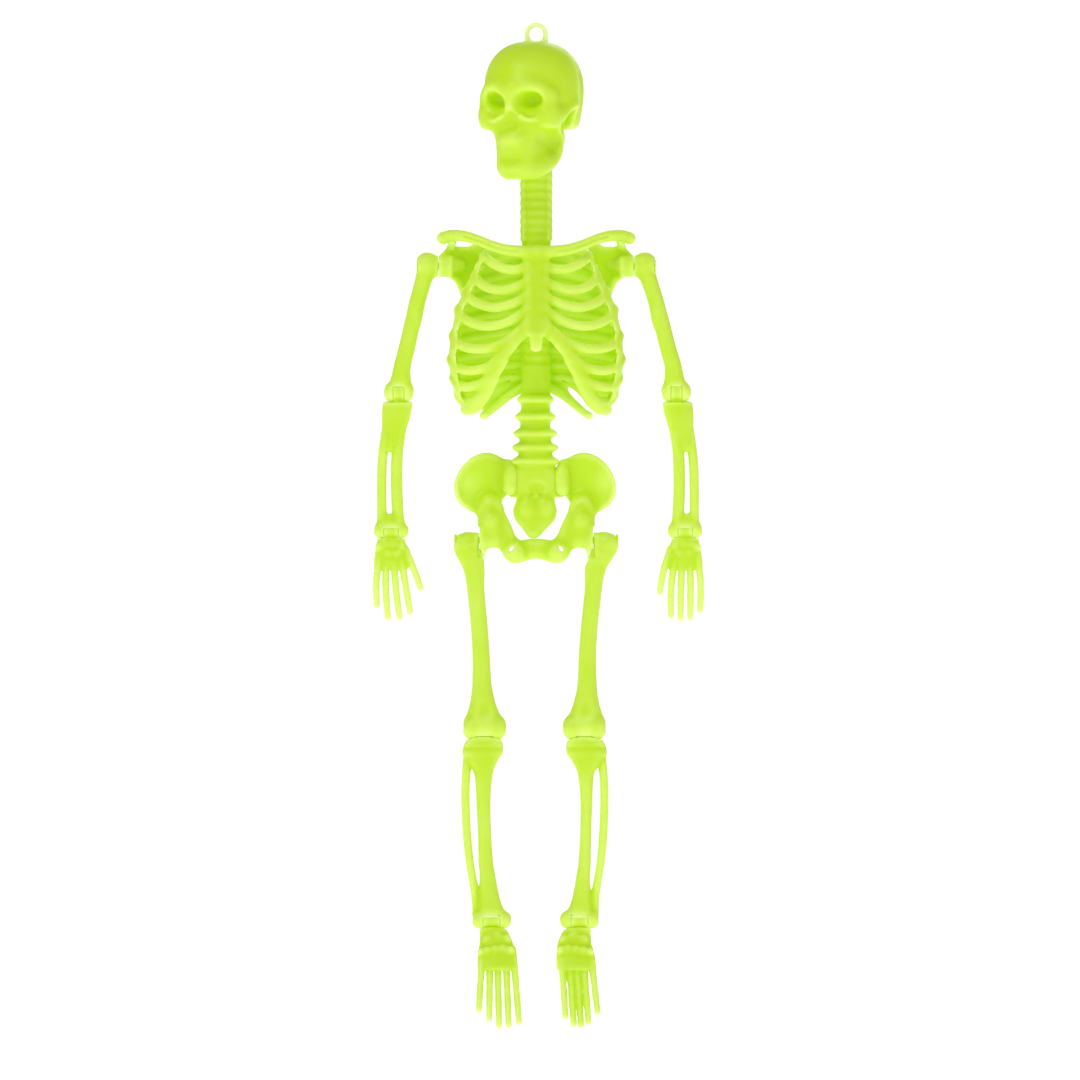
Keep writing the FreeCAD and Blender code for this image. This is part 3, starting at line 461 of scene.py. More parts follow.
def fork(clay, name, joint_name, side):
    """The knuckle of the bone above a hinge, slotted for the round tongue and recessed for the pin's head."""
    hinge = HINGES[name]
    at = PIVOT[joint_name]
    clay.add(rod(at, hinge.radius, hinge.width / 2, edge=hinge.roundness), 1.2)
    half = hinge.tongue / 2 + PLAY
    front = hinge.wall if hinge.opening > 0 else 3 * hinge.radius
    rear = hinge.wall if hinge.opening < 0 else 3 * hinge.radius
    clay.take(block(at - (half, front, hinge.radius + 12), at + (half, rear, hinge.top), 0.1))
    clay.take(round_slot(at, hinge.radius + 0.05, half, front, rear))
    reach = 2.0   # half the length of the cut, most of which lies outside the knuckle
    mouth = at + (side * (hinge.width / 2 + reach - HINGE_HEAD_DEPTH), 0, 0)
    clay.take(rod(mouth, 1.6 * hinge.pin + 0.1, reach, edge=0.1))


def round_slot(at, radius, half, front, rear):
    """A round hollow across a knuckle that stops at a wall in front or behind."""
    def distance(x, y, z):
        round_part = np.hypot(y - at[1], z - at[2]) - radius
        walls = np.maximum(at[1] - front - y, y - at[1] - rear)
        return np.maximum(np.maximum(round_part, walls), np.abs(x - at[0]) - half)

    return Shape(at - (half, radius, radius), at + (half, radius, radius), distance)


def round_tongue(at, radius, half, opening, wall):
    """A disc flush with its knuckle where it shows, and smaller on the part that would turn into the wall."""
    small = radius if not opening else wall - GAP
    aim = math.radians(54)

    def distance(x, y, z):
        out, up = (y - at[1]) * (opening or 1), z - at[2]
        away = np.hypot(out, up)
        facing = (out * math.sin(aim) - up * math.cos(aim)) / np.maximum(away, 0.1)
        share = np.clip((facing + 0.15) / 0.25, 0, 1)
        return rounded(away - (small + (radius - small) * share), np.abs(x - at[0]) - half, 0.3)

    return Shape(at - (half, radius, radius), at + (half, radius, radius), distance)


def hang_on(clay, name, joint_name):
    """Keeps the bone below a hinge clear of the knuckle and gives it its tongue."""
    hinge = HINGES[name]
    at = PIVOT[joint_name]
    half = hinge.tongue / 2
    clay.take(rod(at, hinge.radius + GAP, hinge.width, edge=0.0))
    clay.add(round_tongue(at, hinge.radius - PLAY, half, hinge.opening, hinge.wall))
    clay.add(block(at - (half, hinge.neck, hinge.radius + 1.2), at + (half, hinge.neck, 0), 0.3), 0.2)


# ------------------------------------------------------------------ skull
def skull():
    """A smooth brow, round sockets, a blunt nose and a long jaw with no teeth, in two shells."""
    clay = Clay((-17, -23, -48), (17, 19, 0), 0.36)
    clay.add(egg((0, -1.6, -18.5), (15.2, 18.6, 16.3), power=2.35))
    # upper jaw and chin
    clay.add(limb([
        (-24, 0, -7.4, 12.6, 9.9), (-28, 0, -8.2, 11.8, 9.6), (-31, 0, -9.4, 9.8, 9.0),
        (-34.5, 0, -10.0, 8.2, 8.6), (-38, 0, -10.5, 7.5, 8.0), (-42, 0, -10.9, 7.0, 7.6),
        (-46.4, 0, -11.2, 5.7, 6.3)], edge=2.6, power=2.5), 3.0)
    for side in SIDES.values():
        # branch of the lower jaw, from in front of the ear to the corner and on to the chin
        clay.add(bar(side, [
            (10.6, -2.6, -27.0, 2.6), (8.8, -2.3, -33.4, 2.5), (7.5, -3.0, -39.0, 2.6),
            (6.4, -8.5, -42.4, 2.8), (3.4, -13.2, -43.2, 2.5)]), 3.0)
        # cheekbone, the outer rim of the eye and the arch back to the ear
        clay.add(egg((side * 10.1, -12.0, -27.5), (3.6, 4.2, 4.0), power=3.0), 2.2)
        clay.add(bar(side, [
            (11.0, -12.6, -20.4, 1.6), (11.3, -12.7, -23.2, 1.8), (10.9, -12.8, -26.4, 1.8)]), 2.4)
        clay.add(bar(side, [
            (11.6, -11.5, -26.6, 2.2), (13.0, -6.0, -25.4, 1.9), (13.6, -1.4, -23.4, 1.9)]), 2.2)
        clay.add(bar(side, [
            (1.0, -18.2, -18.4, 1.2), (5.2, -18.0, -17.6, 1.2), (8.8, -15.9, -18.2, 1.2),
            (10.6, -13.2, -20.4, 1.2)]), 4.0)
        # lower back corner, behind the ear
        clay.add(egg((side * 8.4, 3.6, -25.8), (4.8, 6.2, 5.2), power=3.6), 2.2)
    clay.add(egg((0, -14.8, -43.4), (4.5, 3.3, 2.7)), 2.4)
    clay.add(egg((0, -17.4, -34.2), (3.4, 3.0, 2.4)), 2.8)
    # bridge of the nose
    clay.add(tube([(0, -18.4, -19.6, 1.3), (0, -19.4, -25.0, 1.5)]), 2.0)
    for side in SIDES.values():
        droop = Matrix.Rotation(math.radians(-14 * side), 3, "Y")
        clay.take(egg((side * 6.4, -19.6, -23.2), (4.2, 3.8, 3.9), droop), 2.2)
        clay.take(egg((side * 6.2, -16.2, -21.9), (3.3, 4.2, 2.5), droop), 1.6)
        # faint lower rim of the eye
        clay.add(bar(side, [
            (3.4, -18.5, -27.0, 0.4), (6.4, -17.9, -28.2, 0.45), (9.4, -15.4, -27.4, 0.45)]), 1.6)
        # hollow under the cheekbone
        clay.take(egg((side * 10.8, -10.4, -34.4), (3.0, 7.4, 3.0)), 2.6)
        clay.take(egg((side * 1.2, -20.2, -29.0), (1.1, 2.2, 1.7)), 1.6)
    clay.take(egg((0, -20.8, -27.6), (1.9, 2.3, 2.4)), 2.0)
    # faint hollow over the chin
    clay.take(egg((0, -20.4, -40.6), (5.0, 2.2, 1.6)), 2.4)
    # flat underside behind the jaw, the brain hollow and the neck's well
    clay.take(block((-20, -0.6, -60), (20, 30, -31.0), 0.5), 1.2)
    clay.take(egg((0, 1.6, -17.4), (11.8, 12.0, 11.4)))
    clay.take(rod((0, 0, -46.5), 5.55, 13, axis=2, edge=0.4))
    clay.take(rod((0, 0, -32), 2.3, 4, axis=2, edge=0.1))
    seam = 0.05
    face, back = clay.copy(), clay.copy()
    for side in SIDES.values():
        # behind the arch the face shell's edge sweeps in under the ear
        face.take(egg((side * 15.6, -1.4, -29.6), (5.4, 6.0, 5.4)), 1.2)
    face.keep(lambda x, y, z: y + seam + 0 * x * z)
    # the rear shell sits a little inside the face shell low down, so the seam shows as a step at the ear
    sunk = 0.4 / (1 + np.exp((back.axes[2] + 21.5) / 1.2))
    back.field = back.field + sunk.reshape(1, 1, -1).astype(np.float32)
    back.keep(lambda x, y, z: seam - y + 0 * x * z)
    finish(face, "skull_face_shell", "skull", ["skull_face"], turn=HEAD_TURN)
    finish(back, "skull_back_shell", "skull", ["skull_back"], turn=HEAD_TURN)


def hanging_ring():
    """A moulded eye with a soft inner land; its two legs spread where they enter the crown."""
    clay = Clay((-5, -2.4, -8), (5, 2.4, 4.4), 0.16)
    bore, outer = 2.25, 3.7
    middle = (bore + outer) / 2
    turns = [(middle * math.cos(a), 0, middle * math.sin(a), (outer - bore) / 2)
             for a in np.linspace(0, 2 * math.pi, 13)]
    clay.add(tube(turns, per_span=4))
    for side in (-1, 1):
        clay.add(bar(side, [(2.9, 0, -0.9, 0.62), (2.95, 0, -2.2, 0.8), (3.0, 0, -3.4, 1.1)]), 0.5)
    clay.take(rod((0, 0, 0), bore, 4, axis=1, edge=0.0), 0.1)
    clay.add(rod((0, 0, -4.6), 0.9, 1.8, axis=2, edge=0.1))
    clay.add(rod((0, 0, -5.9), 2.2, 0.5, axis=2, edge=0.15))
    finish(clay, "hanging_eye", "skull", ["hanging_loop"], LOOP)


# ------------------------------------------------------------------ trunk
CAGE = [  # z, half width, front y, rear y of the rib cage
    (-123.2, 19.8, -17.0, 9.4), (-116.0, 26.2, -20.2, 10.6), (-110.0, 27.6, -22.0, 11.0),
    (-104.0, 28.4, -22.4, 11.0), (-97.0, 27.8, -21.4, 11.0), (-88.0, 25.9, -19.0, 11.0),
    (-77.0, 21.2, -15.5, 10.0), (-67.0, 16.5, -12.5, 8.4)]
CAGE_Z, CAGE_WIDE, CAGE_FRONT, CAGE_REAR = (np.array(column, float) for column in zip(*CAGE))


def cage_oval(z):
    """Middle y, half width and half depth of the rib cage at a height."""
    wide, front, rear = (eased(CAGE_Z, column, z) for column in (CAGE_WIDE, CAGE_FRONT, CAGE_REAR))
    return (front + rear) / 2, wide, (rear - front) / 2


def on_cage(x, z, depth, front=True):
    """A point at x, z that lies that depth under the cage's skin, in front or at the back."""
    middle, wide, deep = cage_oval(np.array([z]))
    share = min(abs(x) / (wide[0] - depth), 1.0)
    reach = (deep[0] - depth) * math.sqrt(max(1 - share * share, 0.0))
    return x, middle[0] + (-reach if front else reach), z


def round_cage(angle, z, depth):
    """A point on the cage at an angle from its side: 0 at the flank, 90 at the back."""
    middle, wide, deep = cage_oval(np.array([z]))
    turn = math.radians(angle)
    return (wide[0] - depth) * math.cos(turn), middle[0] + (deep[0] - depth) * math.sin(turn), z


FRONT_RIBS = [  # middle line of each front rib from the breastbone to the flank: x, z
    [(2.6, -75.0), (8.7, -75.6), (13.5, -73.8), (17.4, -70.4)],
    [(2.6, -79.8), (10.6, -82.2), (16.8, -80.7), (19.6, -76.8)],
    [(2.6, -84.2), (8.6, -86.9), (14.2, -87.7), (20.0, -85.6), (22.6, -82.0)],
    [(2.6, -88.6), (9.4, -92.5), (16.0, -93.7), (22.0, -91.8), (24.9, -88.2)],
    [(2.6, -93.2), (9.4, -98.6), (16.0, -100.9), (23.0, -100.2), (26.4, -96.8)],
    [(7.6, -99.6), (12.0, -104.7), (17.0, -107.3), (23.0, -107.6), (27.0, -104.4)],
    [(10.6, -104.8), (13.6, -109.5), (18.0, -112.2), (23.0, -112.9), (26.2, -110.4)],
    [(13.6, -110.8), (16.4, -115.6), (19.6, -117.4), (23.0, -117.6), (24.6, -115.8)],
]
RIB_RADIUS = 1.55
RIB_FLAT = 0.8      # thickness of a rib over its height
CAGE_SEAM = -4.0    # y of the plane where the front and rear cages meet
FLANK_DEPTH = 0.6   # how much deeper the ribs lie where they turn round the flank
ARCH = [(2.4, -94.4, 2.0), (6.6, -98.0, 1.9), (9.6, -100.9, 1.9), (12.1, -104.6, 1.9), (13.9, -108.4, 1.8),
        (15.5, -112.4, 1.8), (17.5, -116.6, 1.9), (19.8, -119.5, 2.0), (22.4, -120.2, 1.8)]
WEB_EDGE = [(-122.0, 17.0), (-117.0, 23.6), (-110.0, 25.0), (-104.0, 25.6), (-97.0, 25.2), (-90.0, 23.8),
            (-84.0, 21.4), (-78.0, 19.0), (-69.0, 16.2)]  # z, distance from the middle where the web begins
# x, z of small cuts near the flank, of which the top one lies sealed inside the rib
SLITS = [(24.4, -90.0), (24.6, -96.2), (25.2, -103.2), (24.4, -109.4)]


def cage_skin(thick, depth):
    """The thin web between ribs: a skin under the cage's outside."""
    def distance(x, y, z):
        middle, wide, deep = (v.reshape(z.shape) for v in cage_oval(z.ravel()))
        out = oval(x, y - middle, wide - depth, deep - depth)
        return np.abs(out) - thick / 2

    return Shape((-29, -24, -124), (29, 12, -66), distance)


def front_cage():
    """Breastbone, eight pairs of front ribs, the arch that gathers the lower ones, and the collar bones."""
    clay = Clay((-34, -25, -125), (34, 4, -61), 0.38)
    clay.add(cage_skin(1.2, 1.1))
    heights, starts = zip(*WEB_EDGE)
    clay.keep(lambda x, y, z: np.maximum(eased(heights, starts, z.ravel()).reshape(z.shape) - np.abs(x),
                                         np.maximum(z + 69.5, -119.6 - z)) + 0 * y)
    for side in SIDES.values():
        for line in FRONT_RIBS:
            points = [on_cage(side * x, z, RIB_RADIUS * RIB_FLAT + FLANK_DEPTH * (x > 19)) for x, z in line]
            tip = round_cage(-2, line[-1][1] + 0.6, RIB_RADIUS + FLANK_DEPTH)
            points += mirrored(side, [tip])
            clay.add(tube(points, RIB_RADIUS, flat=RIB_FLAT), 0.9)
        arch = [(*on_cage(side * x, z, r * 0.85), r) for x, z, r in ARCH]
        clay.add(tube(arch, flat=0.75), 1.2)
        for x, z in SLITS:
            clay.take(tube([on_cage(side * (x - 0.6), z - 1.2, 1.0), on_cage(side * (x + 0.6), z + 1.0, 1.0)],
                           0.42), 0.3)
        # collar bone: two soft ridges with a groove between, and a rounded outer end that hooks down
        bone = [(0.0, -13.2, -70.1, 2.0), (6.0, -13.0, -69.8, 1.9), (10.5, -11.9, -69.1, 1.75),
                (15.0, -9.4, -67.6, 1.65), (19.0, -6.8, -65.9, 1.65), (23.0, -4.2, -64.7, 1.75),
                (27.0, -1.6, -64.4, 1.85), (29.8, 0.2, -65.2, 2.0)]
        clay.add(bar(side, bone), 0.9)
        groove = [(x, y - r - 0.05, z - 0.1, 0.3) for x, y, z, r in bone[1:6]]
        clay.take(bar(side, groove), 0.7)
    # breastbone: a flat band that leans forward as it goes down
    top, foot = (-69.0, -12.2), (-96.0, -20.9)
    lean = (foot[1] - top[1]) / (foot[0] - top[0])
    rows = [(z, 0, top[1] + lean * (z - top[0]) - 0.1, w, 1.45)
            for z, w in ((-69.0, 4.0), (-73, 3.8), (-80, 3.6), (-88, 3.8), (-93, 3.9), (-97.4, 2.7))]
    clay.add(limb(rows, edge=1.3, power=2.5), 2.0)
    clay.add(limb([
        (-96, 0, -21.0, 2.2, 1.3), (-99, 0, -21.3, 2.0, 1.2),
        (-101.9, 0, -21.4, 1.7, 1.0)], edge=1.1), 0.6)
    # the cage ends on its seam, but the collar bones run on back to the shoulders
    clay.keep(lambda x, y, z: np.where(z > -68.4, y - 3.2, y - CAGE_SEAM) + 0 * x)
    finish(clay, "front_ribs", "torso", ["front_ribcage"])


LAST_GAP = [(10.2, -112.8), (11.9, -113.6), (14.3, -115.9), (15.8, -118.0), (17.7, -120.6), (16.3, -120.3),
            (13.9, -118.0), (12.0, -116.1), (10.5, -114.2)]
REAR_RIB_TOPS = [-74.6, -80.2, -86.2, -92.6, -99.0, -104.8, -109.8, -113.8]


def rear_cage():
    """Rear ribs on a thin web, with the shoulder blades and their sockets behind."""
    clay = Clay((-33, -6, -126), (33, 13, -62), 0.38)
    clay.add(cage_skin(1.2, 1.15))
    edge_x, edge_z = (4.0, 7.0, 12.0, 17.0, 21.0, 27.0), (-113.6, -114.2, -117.6, -121.2, -120.4, -116.6)

    def trim(x, y, z):
        floor = np.interp(np.abs(x), edge_x, edge_z)
        roof = -68.6 - 3.2 * np.exp(-(x / 9.0) ** 2)
        return np.maximum(np.maximum(floor - z, z - roof), CAGE_SEAM - y)

    clay.keep(trim)
    for side in SIDES.values():
        for flank in REAR_RIB_TOPS:
            points = [(angle, flank + rise) for angle, rise in
                      ((-4, 0.0), (20, 1.0), (42, 2.2), (62, 3.4), (76, 4.0), (86, 4.0))]
            line = [round_cage(angle, z, RIB_RADIUS * RIB_FLAT + FLANK_DEPTH) for angle, z in points]
            clay.add(bar(side, line, 1.35, flat=0.85), 0.9)
        # slots above and below the last rib, which floats free of the front
        clay.take(bar(side, [(7.3, 8.6, -109.0, 0.5), (12.6, 6.6, -115.0, 0.5)]), 0.4)
        clay.take(bar(side, [
            (10.6, 6.6, -113.4, 0.7), (13.4, 5.2, -116.4, 1.1), (15.2, 4.4, -118.4, 1.1),
            (18.4, 2.0, -120.8, 1.1)]), 0.3)
        clay.add(bar(side, [
            (3.4, 7.2, -112.4, 1.6), (8.4, 6.4, -115.3, 1.4), (13.0, 4.4, -119.0, 1.35),
            (16.9, 2.2, -122.0, 1.3)]), 0.6)
        scapula(clay, side)
    # open gap between the arch and the last rib on the figure's left
    clay.take(slab(LAST_GAP, 5.0, 16.0, edge=0.1))
    clay.add(limb([
        (-70, 0, 8.6, 4.4, 1.8), (-90, 0, 9.6, 4.4, 1.9),
        (-114, 0, 8.8, 4.4, 1.9)], edge=0.8, power=2.6), 1.0)
    clay.keep(lambda x, y, z: CAGE_SEAM - y + 0 * (x + z))
    for side in SIDES.values():
        socket_bore(clay, side, "shoulder_swing", 1.2)
    finish(clay, "rear_ribs_and_blades", "torso", ["rear_ribcage"])


def socket_bore(clay, side, joint, pin):
    """The bore that holds the still end of a swivel pin."""
    name = "left" if side > 0 else "right"
    at = PIVOT[f"{joint}_{name}"]
    clay.take(rod(at - (side * 2.0, 0, 0), pin + 0.03, 2.4, edge=0.0))


def scapula(clay, side):
    """A thin three-cornered blade with a thicker outer border, a spine and a socket for the arm."""
    at = PIVOT["shoulder_swing_left"]
    face_x = at[0] - GAP / 2
    lean, lean_from, base_y = -0.46, 30.0, at[1] + 0.9
    outline = [
        (14.0, -68.8), (17.0, -66.6), (19.6, -66.2), (21.4, -67.6), (25.6, -67.8), (28.6, -68.6),
        (30.6, -70.8), (30.6, -76.9), (28.4, -77.0), (26.6, -78.0), (25.0, -80.0), (24.0, -83.4),
        (22.0, -88.0), (18.6, -91.4), (16.0, -90.6), (14.4, -84.0)]
    clay.add(slab(mirrored(side, outline), base_y, 1.8, side * lean, side * lean_from), 0.6)

    def lying(x, z, lift=0.0):
        return side * x, base_y + lean * (x - lean_from) + lift, z

    clay.add(tube([
        (*lying(28.6, -75.8), 1.2), (*lying(25.0, -78.8), 1.1), (*lying(23.0, -83.2), 1.0),
        (*lying(18.4, -90.8), 1.0)]), 0.8)
    clay.add(tube([
        (*lying(15.6, -72.4, 0.8), 0.9), (*lying(22.0, -70.8, 1.4), 1.2), (*lying(27.0, -69.0, 0.6), 1.3),
        (side * 26.8, -0.6, -66.2, 1.25)]), 1.2)
    # the socket widens smoothly out of the blade
    clay.add(bar(side, [(24.6, at[1] + 2.4, at[2] + 0.4, 1.8), (27.8, at[1] + 0.4, at[2] + 0.2, 2.6)]), 1.6)
    half = (face_x - 27.0) / 2
    clay.add(rod((side * (27.0 + half), at[1], at[2]), 3.1, half, edge=0.3), 1.6)
    clay.take(block((side * face_x, -10, -90), (side * 40, 20, -69.2), 0.0))


def spine():
    """Ringed neck, back, bumped loins and the heart-shaped tail."""
    clay = Clay((-9, -7, -162), (9, 10, -25), 0.34)
    clay.add(limb([
        (-33.8, 0, 0, 4.85, 4.3), (-46, 0, 0, 4.85, 4.3), (-54, 0, 0.3, 4.7, 4.3),
        (-62, 0, 0.8, 4.8, 4.4), (-70, 0, 2.2, 4.6, 4.2), (-80, 0, 4.2, 4.2, 4.0),
        (-112, 0, 5.2, 4.4, 3.8)], edge=0.6, ripple=(0.12, 2.9, -45.4)))
    for side in SIDES.values():
        # the pale ridge down each side of the neck
        clay.add(limb([(-35, side * 3.9, -0.8, 1.1, 2.6), (-66, side * 3.9, 0.2, 1.1, 2.6)], edge=0.8,
                      ripple=(0.1, 2.9, -45.4)), 0.8)
    clay.add(limb([
        (-106, 0, 5.0, 4.4, 3.9), (-116, -0.2, 4.6, 4.6, 4.0), (-126, -0.3, 4.0, 4.8, 4.1),
        (-134, -0.3, 3.7, 5.2, 4.2), (-141, -0.2, 3.5, 6.6, 3.9),
        (-148.4, -0.2, 3.6, 6.4, 2.8)], edge=0.8, power=2.3), 0.6)
    for z, half_width in ((-116.8, 5.8), (-122.3, 6.5), (-127.7, 7.0), (-132.2, 7.3), (-136.6, 7.6)):
        clay.add(limb([(z - 1.55, -0.3, 3.5, half_width * 0.86, 4.3), (z, -0.3, 3.3, half_width + 0.1, 4.75),
                       (z + 1.55, -0.3, 3.5, half_width * 0.86, 4.3)], edge=1.2, power=2.4), 1.1)
    # tail
    clay.add(limb([
        (-146.6, -0.2, 3.2, 5.6, 2.2), (-149.4, -0.3, 2.9, 6.2, 2.6), (-152.6, -0.4, 2.7, 7.0, 2.7),
        (-155.0, -0.4, 2.4, 6.5, 2.4), (-157.2, -0.5, 2.1, 4.8, 2.1), (-159.2, -0.7, 1.8, 3.0, 1.7),
        (-161.2, -0.9, 1.6, 1.7, 1.3)], edge=1.2), 0.9)
    for side in SIDES.values():
        clay.add(egg((side * 3.1, 1.2, -151.6), (2.4, 1.7, 2.8)), 1.6)
        clay.take(egg((side * 1.4, 0.2, -147.0), (0.8, 1.2, 0.8)), 0.8)
    clay.take(egg((0, -0.4, -145.2), (2.6, 1.6, 1.3)), 1.4)
    clay.add(rod((0, 0, -31.2), 2.2, 3.4, axis=2, edge=0.1))
    clay.add(rod((0, 0, -27.85), 3.4, 0.75, axis=2, edge=0.2))
    finish(clay, "spine_and_neck", "torso", ["spine"])


WING = [(15.0, -133.8), (19.6, -134.9), (23.6, -138.2), (25.8, -142.6), (25.9, -146.8), (24.3, -150.2),
        (21.2, -152.4), (18.0, -153.4), (14.0, -152.4), (10.0, -148.2), (7.4, -144.0), (7.8, -139.2),
        (10.6, -135.6)]
LOWER_HIP = [(18.5, -152.0), (18.5, -156.0), (18.4, -159.4), (17.2, -162.0), (14.6, -162.6), (12.6, -163.2),
             (11.2, -165.4), (9.8, -167.9), (7.0, -169.3), (3.6, -168.6), (0.0, -167.2), (-3.0, -166.6),
             (-3.0, -162.2), (3.0, -161.9), (5.4, -161.6), (6.8, -160.1), (7.9, -157.4), (9.2, -154.8),
             (10.4, -152.6), (10.8, -150.6), (12.6, -148.6), (16.0, -148.0)]
HIP_LIP = [(18.6, -158.0), (18.6, -169.6), (16.5, -169.6), (16.3, -166.6), (15.9, -164.6), (14.8, -162.9),
           (13.2, -162.2), (13.2, -158.0)]
CONE_FROM, CONE_SLOPE = 3.0, 0.5   # the hip's faces turn into a cone this far from the pin


def hip_cone(at, side, face_x, keep, top):
    """The space outside (keep -1) or inside (keep 1) the face between pelvis and thigh, under a height."""
    def distance(x, y, z):
        away = np.hypot(y - at[1], z - at[2])
        face = face_x - CONE_SLOPE * np.maximum(away - CONE_FROM, 0)
        return np.maximum(keep * (side * x - face), z - top) * 0.9

    return Shape(*span(side, 8, 24, -20, 20, -176, top), distance)


def pelvis():
    """Two round wings with soft rims, carried down to the hip sockets and the bar of the pubis."""
    clay = Clay((-28, -6, -171), (28, 11, -132), 0.38)
    hip = PIVOT["hip_swing_left"]
    face_x = hip[0] - GAP / 2
    lean, middle_x = -0.27, 16.0
    for side in SIDES.values():
        wing = [(side * x - 0.3, z) for x, z in WING]
        clay.add(slab(wing, 4.5, 2.7, side * lean, side * middle_x, edge=1.15))
    for side in SIDES.values():
        # hollow face of the wing, and the raised fold where it meets the spine
        clay.take(egg((side * 17.4, 1.0, -143.8), (7.0, 2.2, 7.6)), 2.4)
        clay.add(bar(side, [
            (8.6, 4.4, -137.6, 1.6), (8.1, 3.0, -141.0, 2.4), (8.4, 2.9, -145.2, 2.3)]), 2.6)
        clay.add(slab(mirrored(side, LOWER_HIP), 1.6, 4.4, edge=2.0), 2.0)
        clay.add(bar(side, [
            (15.0, 4.2, -150.0, 3.2), (14.4, 3.0, -154.4, 3.4), (14.2, 1.8, -158.6, 3.2)]), 2.4)
        clay.add(egg((side * 14.6, -0.4, -155.6), (2.6, 2.2, 2.6)), 2.0)
        clay.add(egg((side * 6.6, -0.6, -165.7), (3.2, 2.8, 3.1)), 1.6)
        # lip that runs down inside the thigh bone's head, round under the hip's pin
        clay.add(slab(mirrored(side, HIP_LIP), hip[1] - 0.2, 4.8, edge=0.9), 1.2)
        clay.take(hip_cone(hip, side, face_x, -1, -162.2))
        half = (face_x - 12.0) / 2
        clay.add(rod((side * (12.0 + half), hip[1], hip[2]), 2.45, half, edge=0.3), 1.4)
        # slot beside the bar
        clay.take(egg((side * 7.9, -1, -164.6), (0.55, 9, 1.35),
                      Matrix.Rotation(math.radians(-40 * side), 3, "Y")), 0.3)
        clay.take(block((side * face_x, -20, -170), (side * 40, 20, -157.6), 0.0))
        clay.take(rod((side * (face_x - 2.2), hip[1], hip[2]), 1.13, 2.4, edge=0.0))
    # plate behind the sacrum
    clay.add(limb([
        (-148.2, 0, 7.4, 8.6, 1.4), (-143, 0, 7.6, 10.0, 1.5),
        (-138.4, 0, 7.8, 8.6, 1.3)], edge=0.8, power=3.0), 1.2)
    finish(clay, "pelvis_bone", "torso", ["pelvis"])


# ------------------------------------------------------------------ limbs
BOW_GAIN = {"right": 1.0, "left": 1.4}   # the left limbs bow outwards more
SWIVEL_HEAD_DEPTH = 1.1   # how deep a shoulder or hip pin's head lies in the bone


def along(top, foot, z, bow=0.0):
    """Distance from the middle plane of a limb's line between two pivots, at a height."""
    share = (top[1] - z) / (top[1] - foot[1])
    return top[0] + (foot[0] - top[0]) * share + bow


def limb_rows(side, top, foot, rows, gain=1.0, lift=0.0):
    """Rows of z, bow, half width, half depth become ovals round the line from top to foot."""
    return [(z, side * along(top, foot, z, bow * gain), LIMB_Y + lift, wide, deep)
            for z, bow, wide, deep in rows]


def level_rows(side, x, rows):
    """Rows of z, sideways shift, lift in y, half width and half depth become ovals beside a pivot at x."""
    return [(z, side * (x + shift), LIMB_Y + lift, wide, deep) for z, shift, lift, wide, deep in rows]


def arm(name, side):
    """Upper arm, forearm of two bones, and hand."""
    shoulder, elbow, wrist = (PIVOT[f"{joint}_{name}"]
                              for joint in ("shoulder_swing", "elbow_bend", "wrist_bend"))
    top = (35.3, -74.1)
    bend = (abs(elbow[0]), elbow[2])
    hand_at = (abs(wrist[0]), wrist[2])
    face_x = abs(shoulder[0]) + GAP / 2

    clay = Clay(*span(side, 30.5, 51, -4, 7, -119, -68), 0.34)
    clay.add(limb(limb_rows(side, top, bend, [
        (-73.0, -0.3, 3.3, 3.3), (-76.4, -0.6, 3.3, 3.0), (-79.4, -0.15, 2.75, 2.6), (-90, 0.35, 2.6, 2.45),
        (-100, 0.45, 2.7, 2.5), (-107, 0.6, 2.8, 2.6), (-111, 0.2, 3.4, 2.8), (-114.5, 0, 4.5, 2.95)],
        BOW_GAIN[name])))
    clay.add(egg((side * 34.9, LIMB_Y, -73.6), (3.75, 3.9, 3.9)), 1.0)
    half = (34.6 - face_x) / 2
    clay.add(rod((side * (face_x + half), LIMB_Y, shoulder[2]), 3.1, half, edge=0.3), 1.5)
    # ridge for the muscle on the outside of the shaft
    clay.add(egg((side * 38.6, LIMB_Y - 0.6, -89), (1.6, 1.7, 5.0)), 1.6)
    clay.take(block((side * 20, -20, -100), (side * face_x, 20, -60), 0.0))
    fork(clay, "elbow", f"elbow_bend_{name}", side)
    pin_recess(clay, side, shoulder, 38.4, 1.2)
    finish(clay, f"humerus_{name}_bone", f"upper_arm_{name}", [f"humerus_{name}"])

    clay = Clay(*span(side, 38, 54, -4, 7, -163, -110.5), 0.3)
    clay.add(limb(limb_rows(side, bend, hand_at, [
        (-115.4, 0.0, 4.6, 2.4), (-118, 0.1, 4.75, 2.6), (-120.8, 0.3, 4.7, 2.6), (-126.6, 0.8, 3.95, 2.2),
        (-131, 1.3, 3.75, 1.9), (-133.6, 1.6, 3.7, 1.3)])))
    outer = [(-127, 3.2), (-136, 4.0), (-145, 3.8), (-152, 3.35), (-157, 2.8)]
    inner = [(-127, -0.8), (-136, -0.6), (-145, -1.0), (-152, -1.7), (-157, -2.3)]
    for line, radius in ((outer, 1.5), (inner, 1.85)):
        clay.add(tube([(side * along(bend, hand_at, z, shift), LIMB_Y, z, radius) for z, shift in line]), 0.5)
    clay.add(limb(limb_rows(side, bend, hand_at, [
        (-153.4, 0.6, 3.7, 1.3), (-156.4, 0.4, 4.3, 1.9), (-159, 0.1, 5.1, 2.1)])), 0.8)
    # the front of the upper edge stays under the arm bone's front when the elbow is bent
    clay.take(block(elbow + (-8, -8, -3.25), elbow + (8, -0.5, 4)), 0.3)
    hang_on(clay, "elbow", f"elbow_bend_{name}")
    fork(clay, "wrist", f"wrist_bend_{name}", side)
    finish(clay, f"forearm_{name}_bones", f"lower_arm_{name}", [f"forearm_{name}"])
    hand(name, side, wrist)


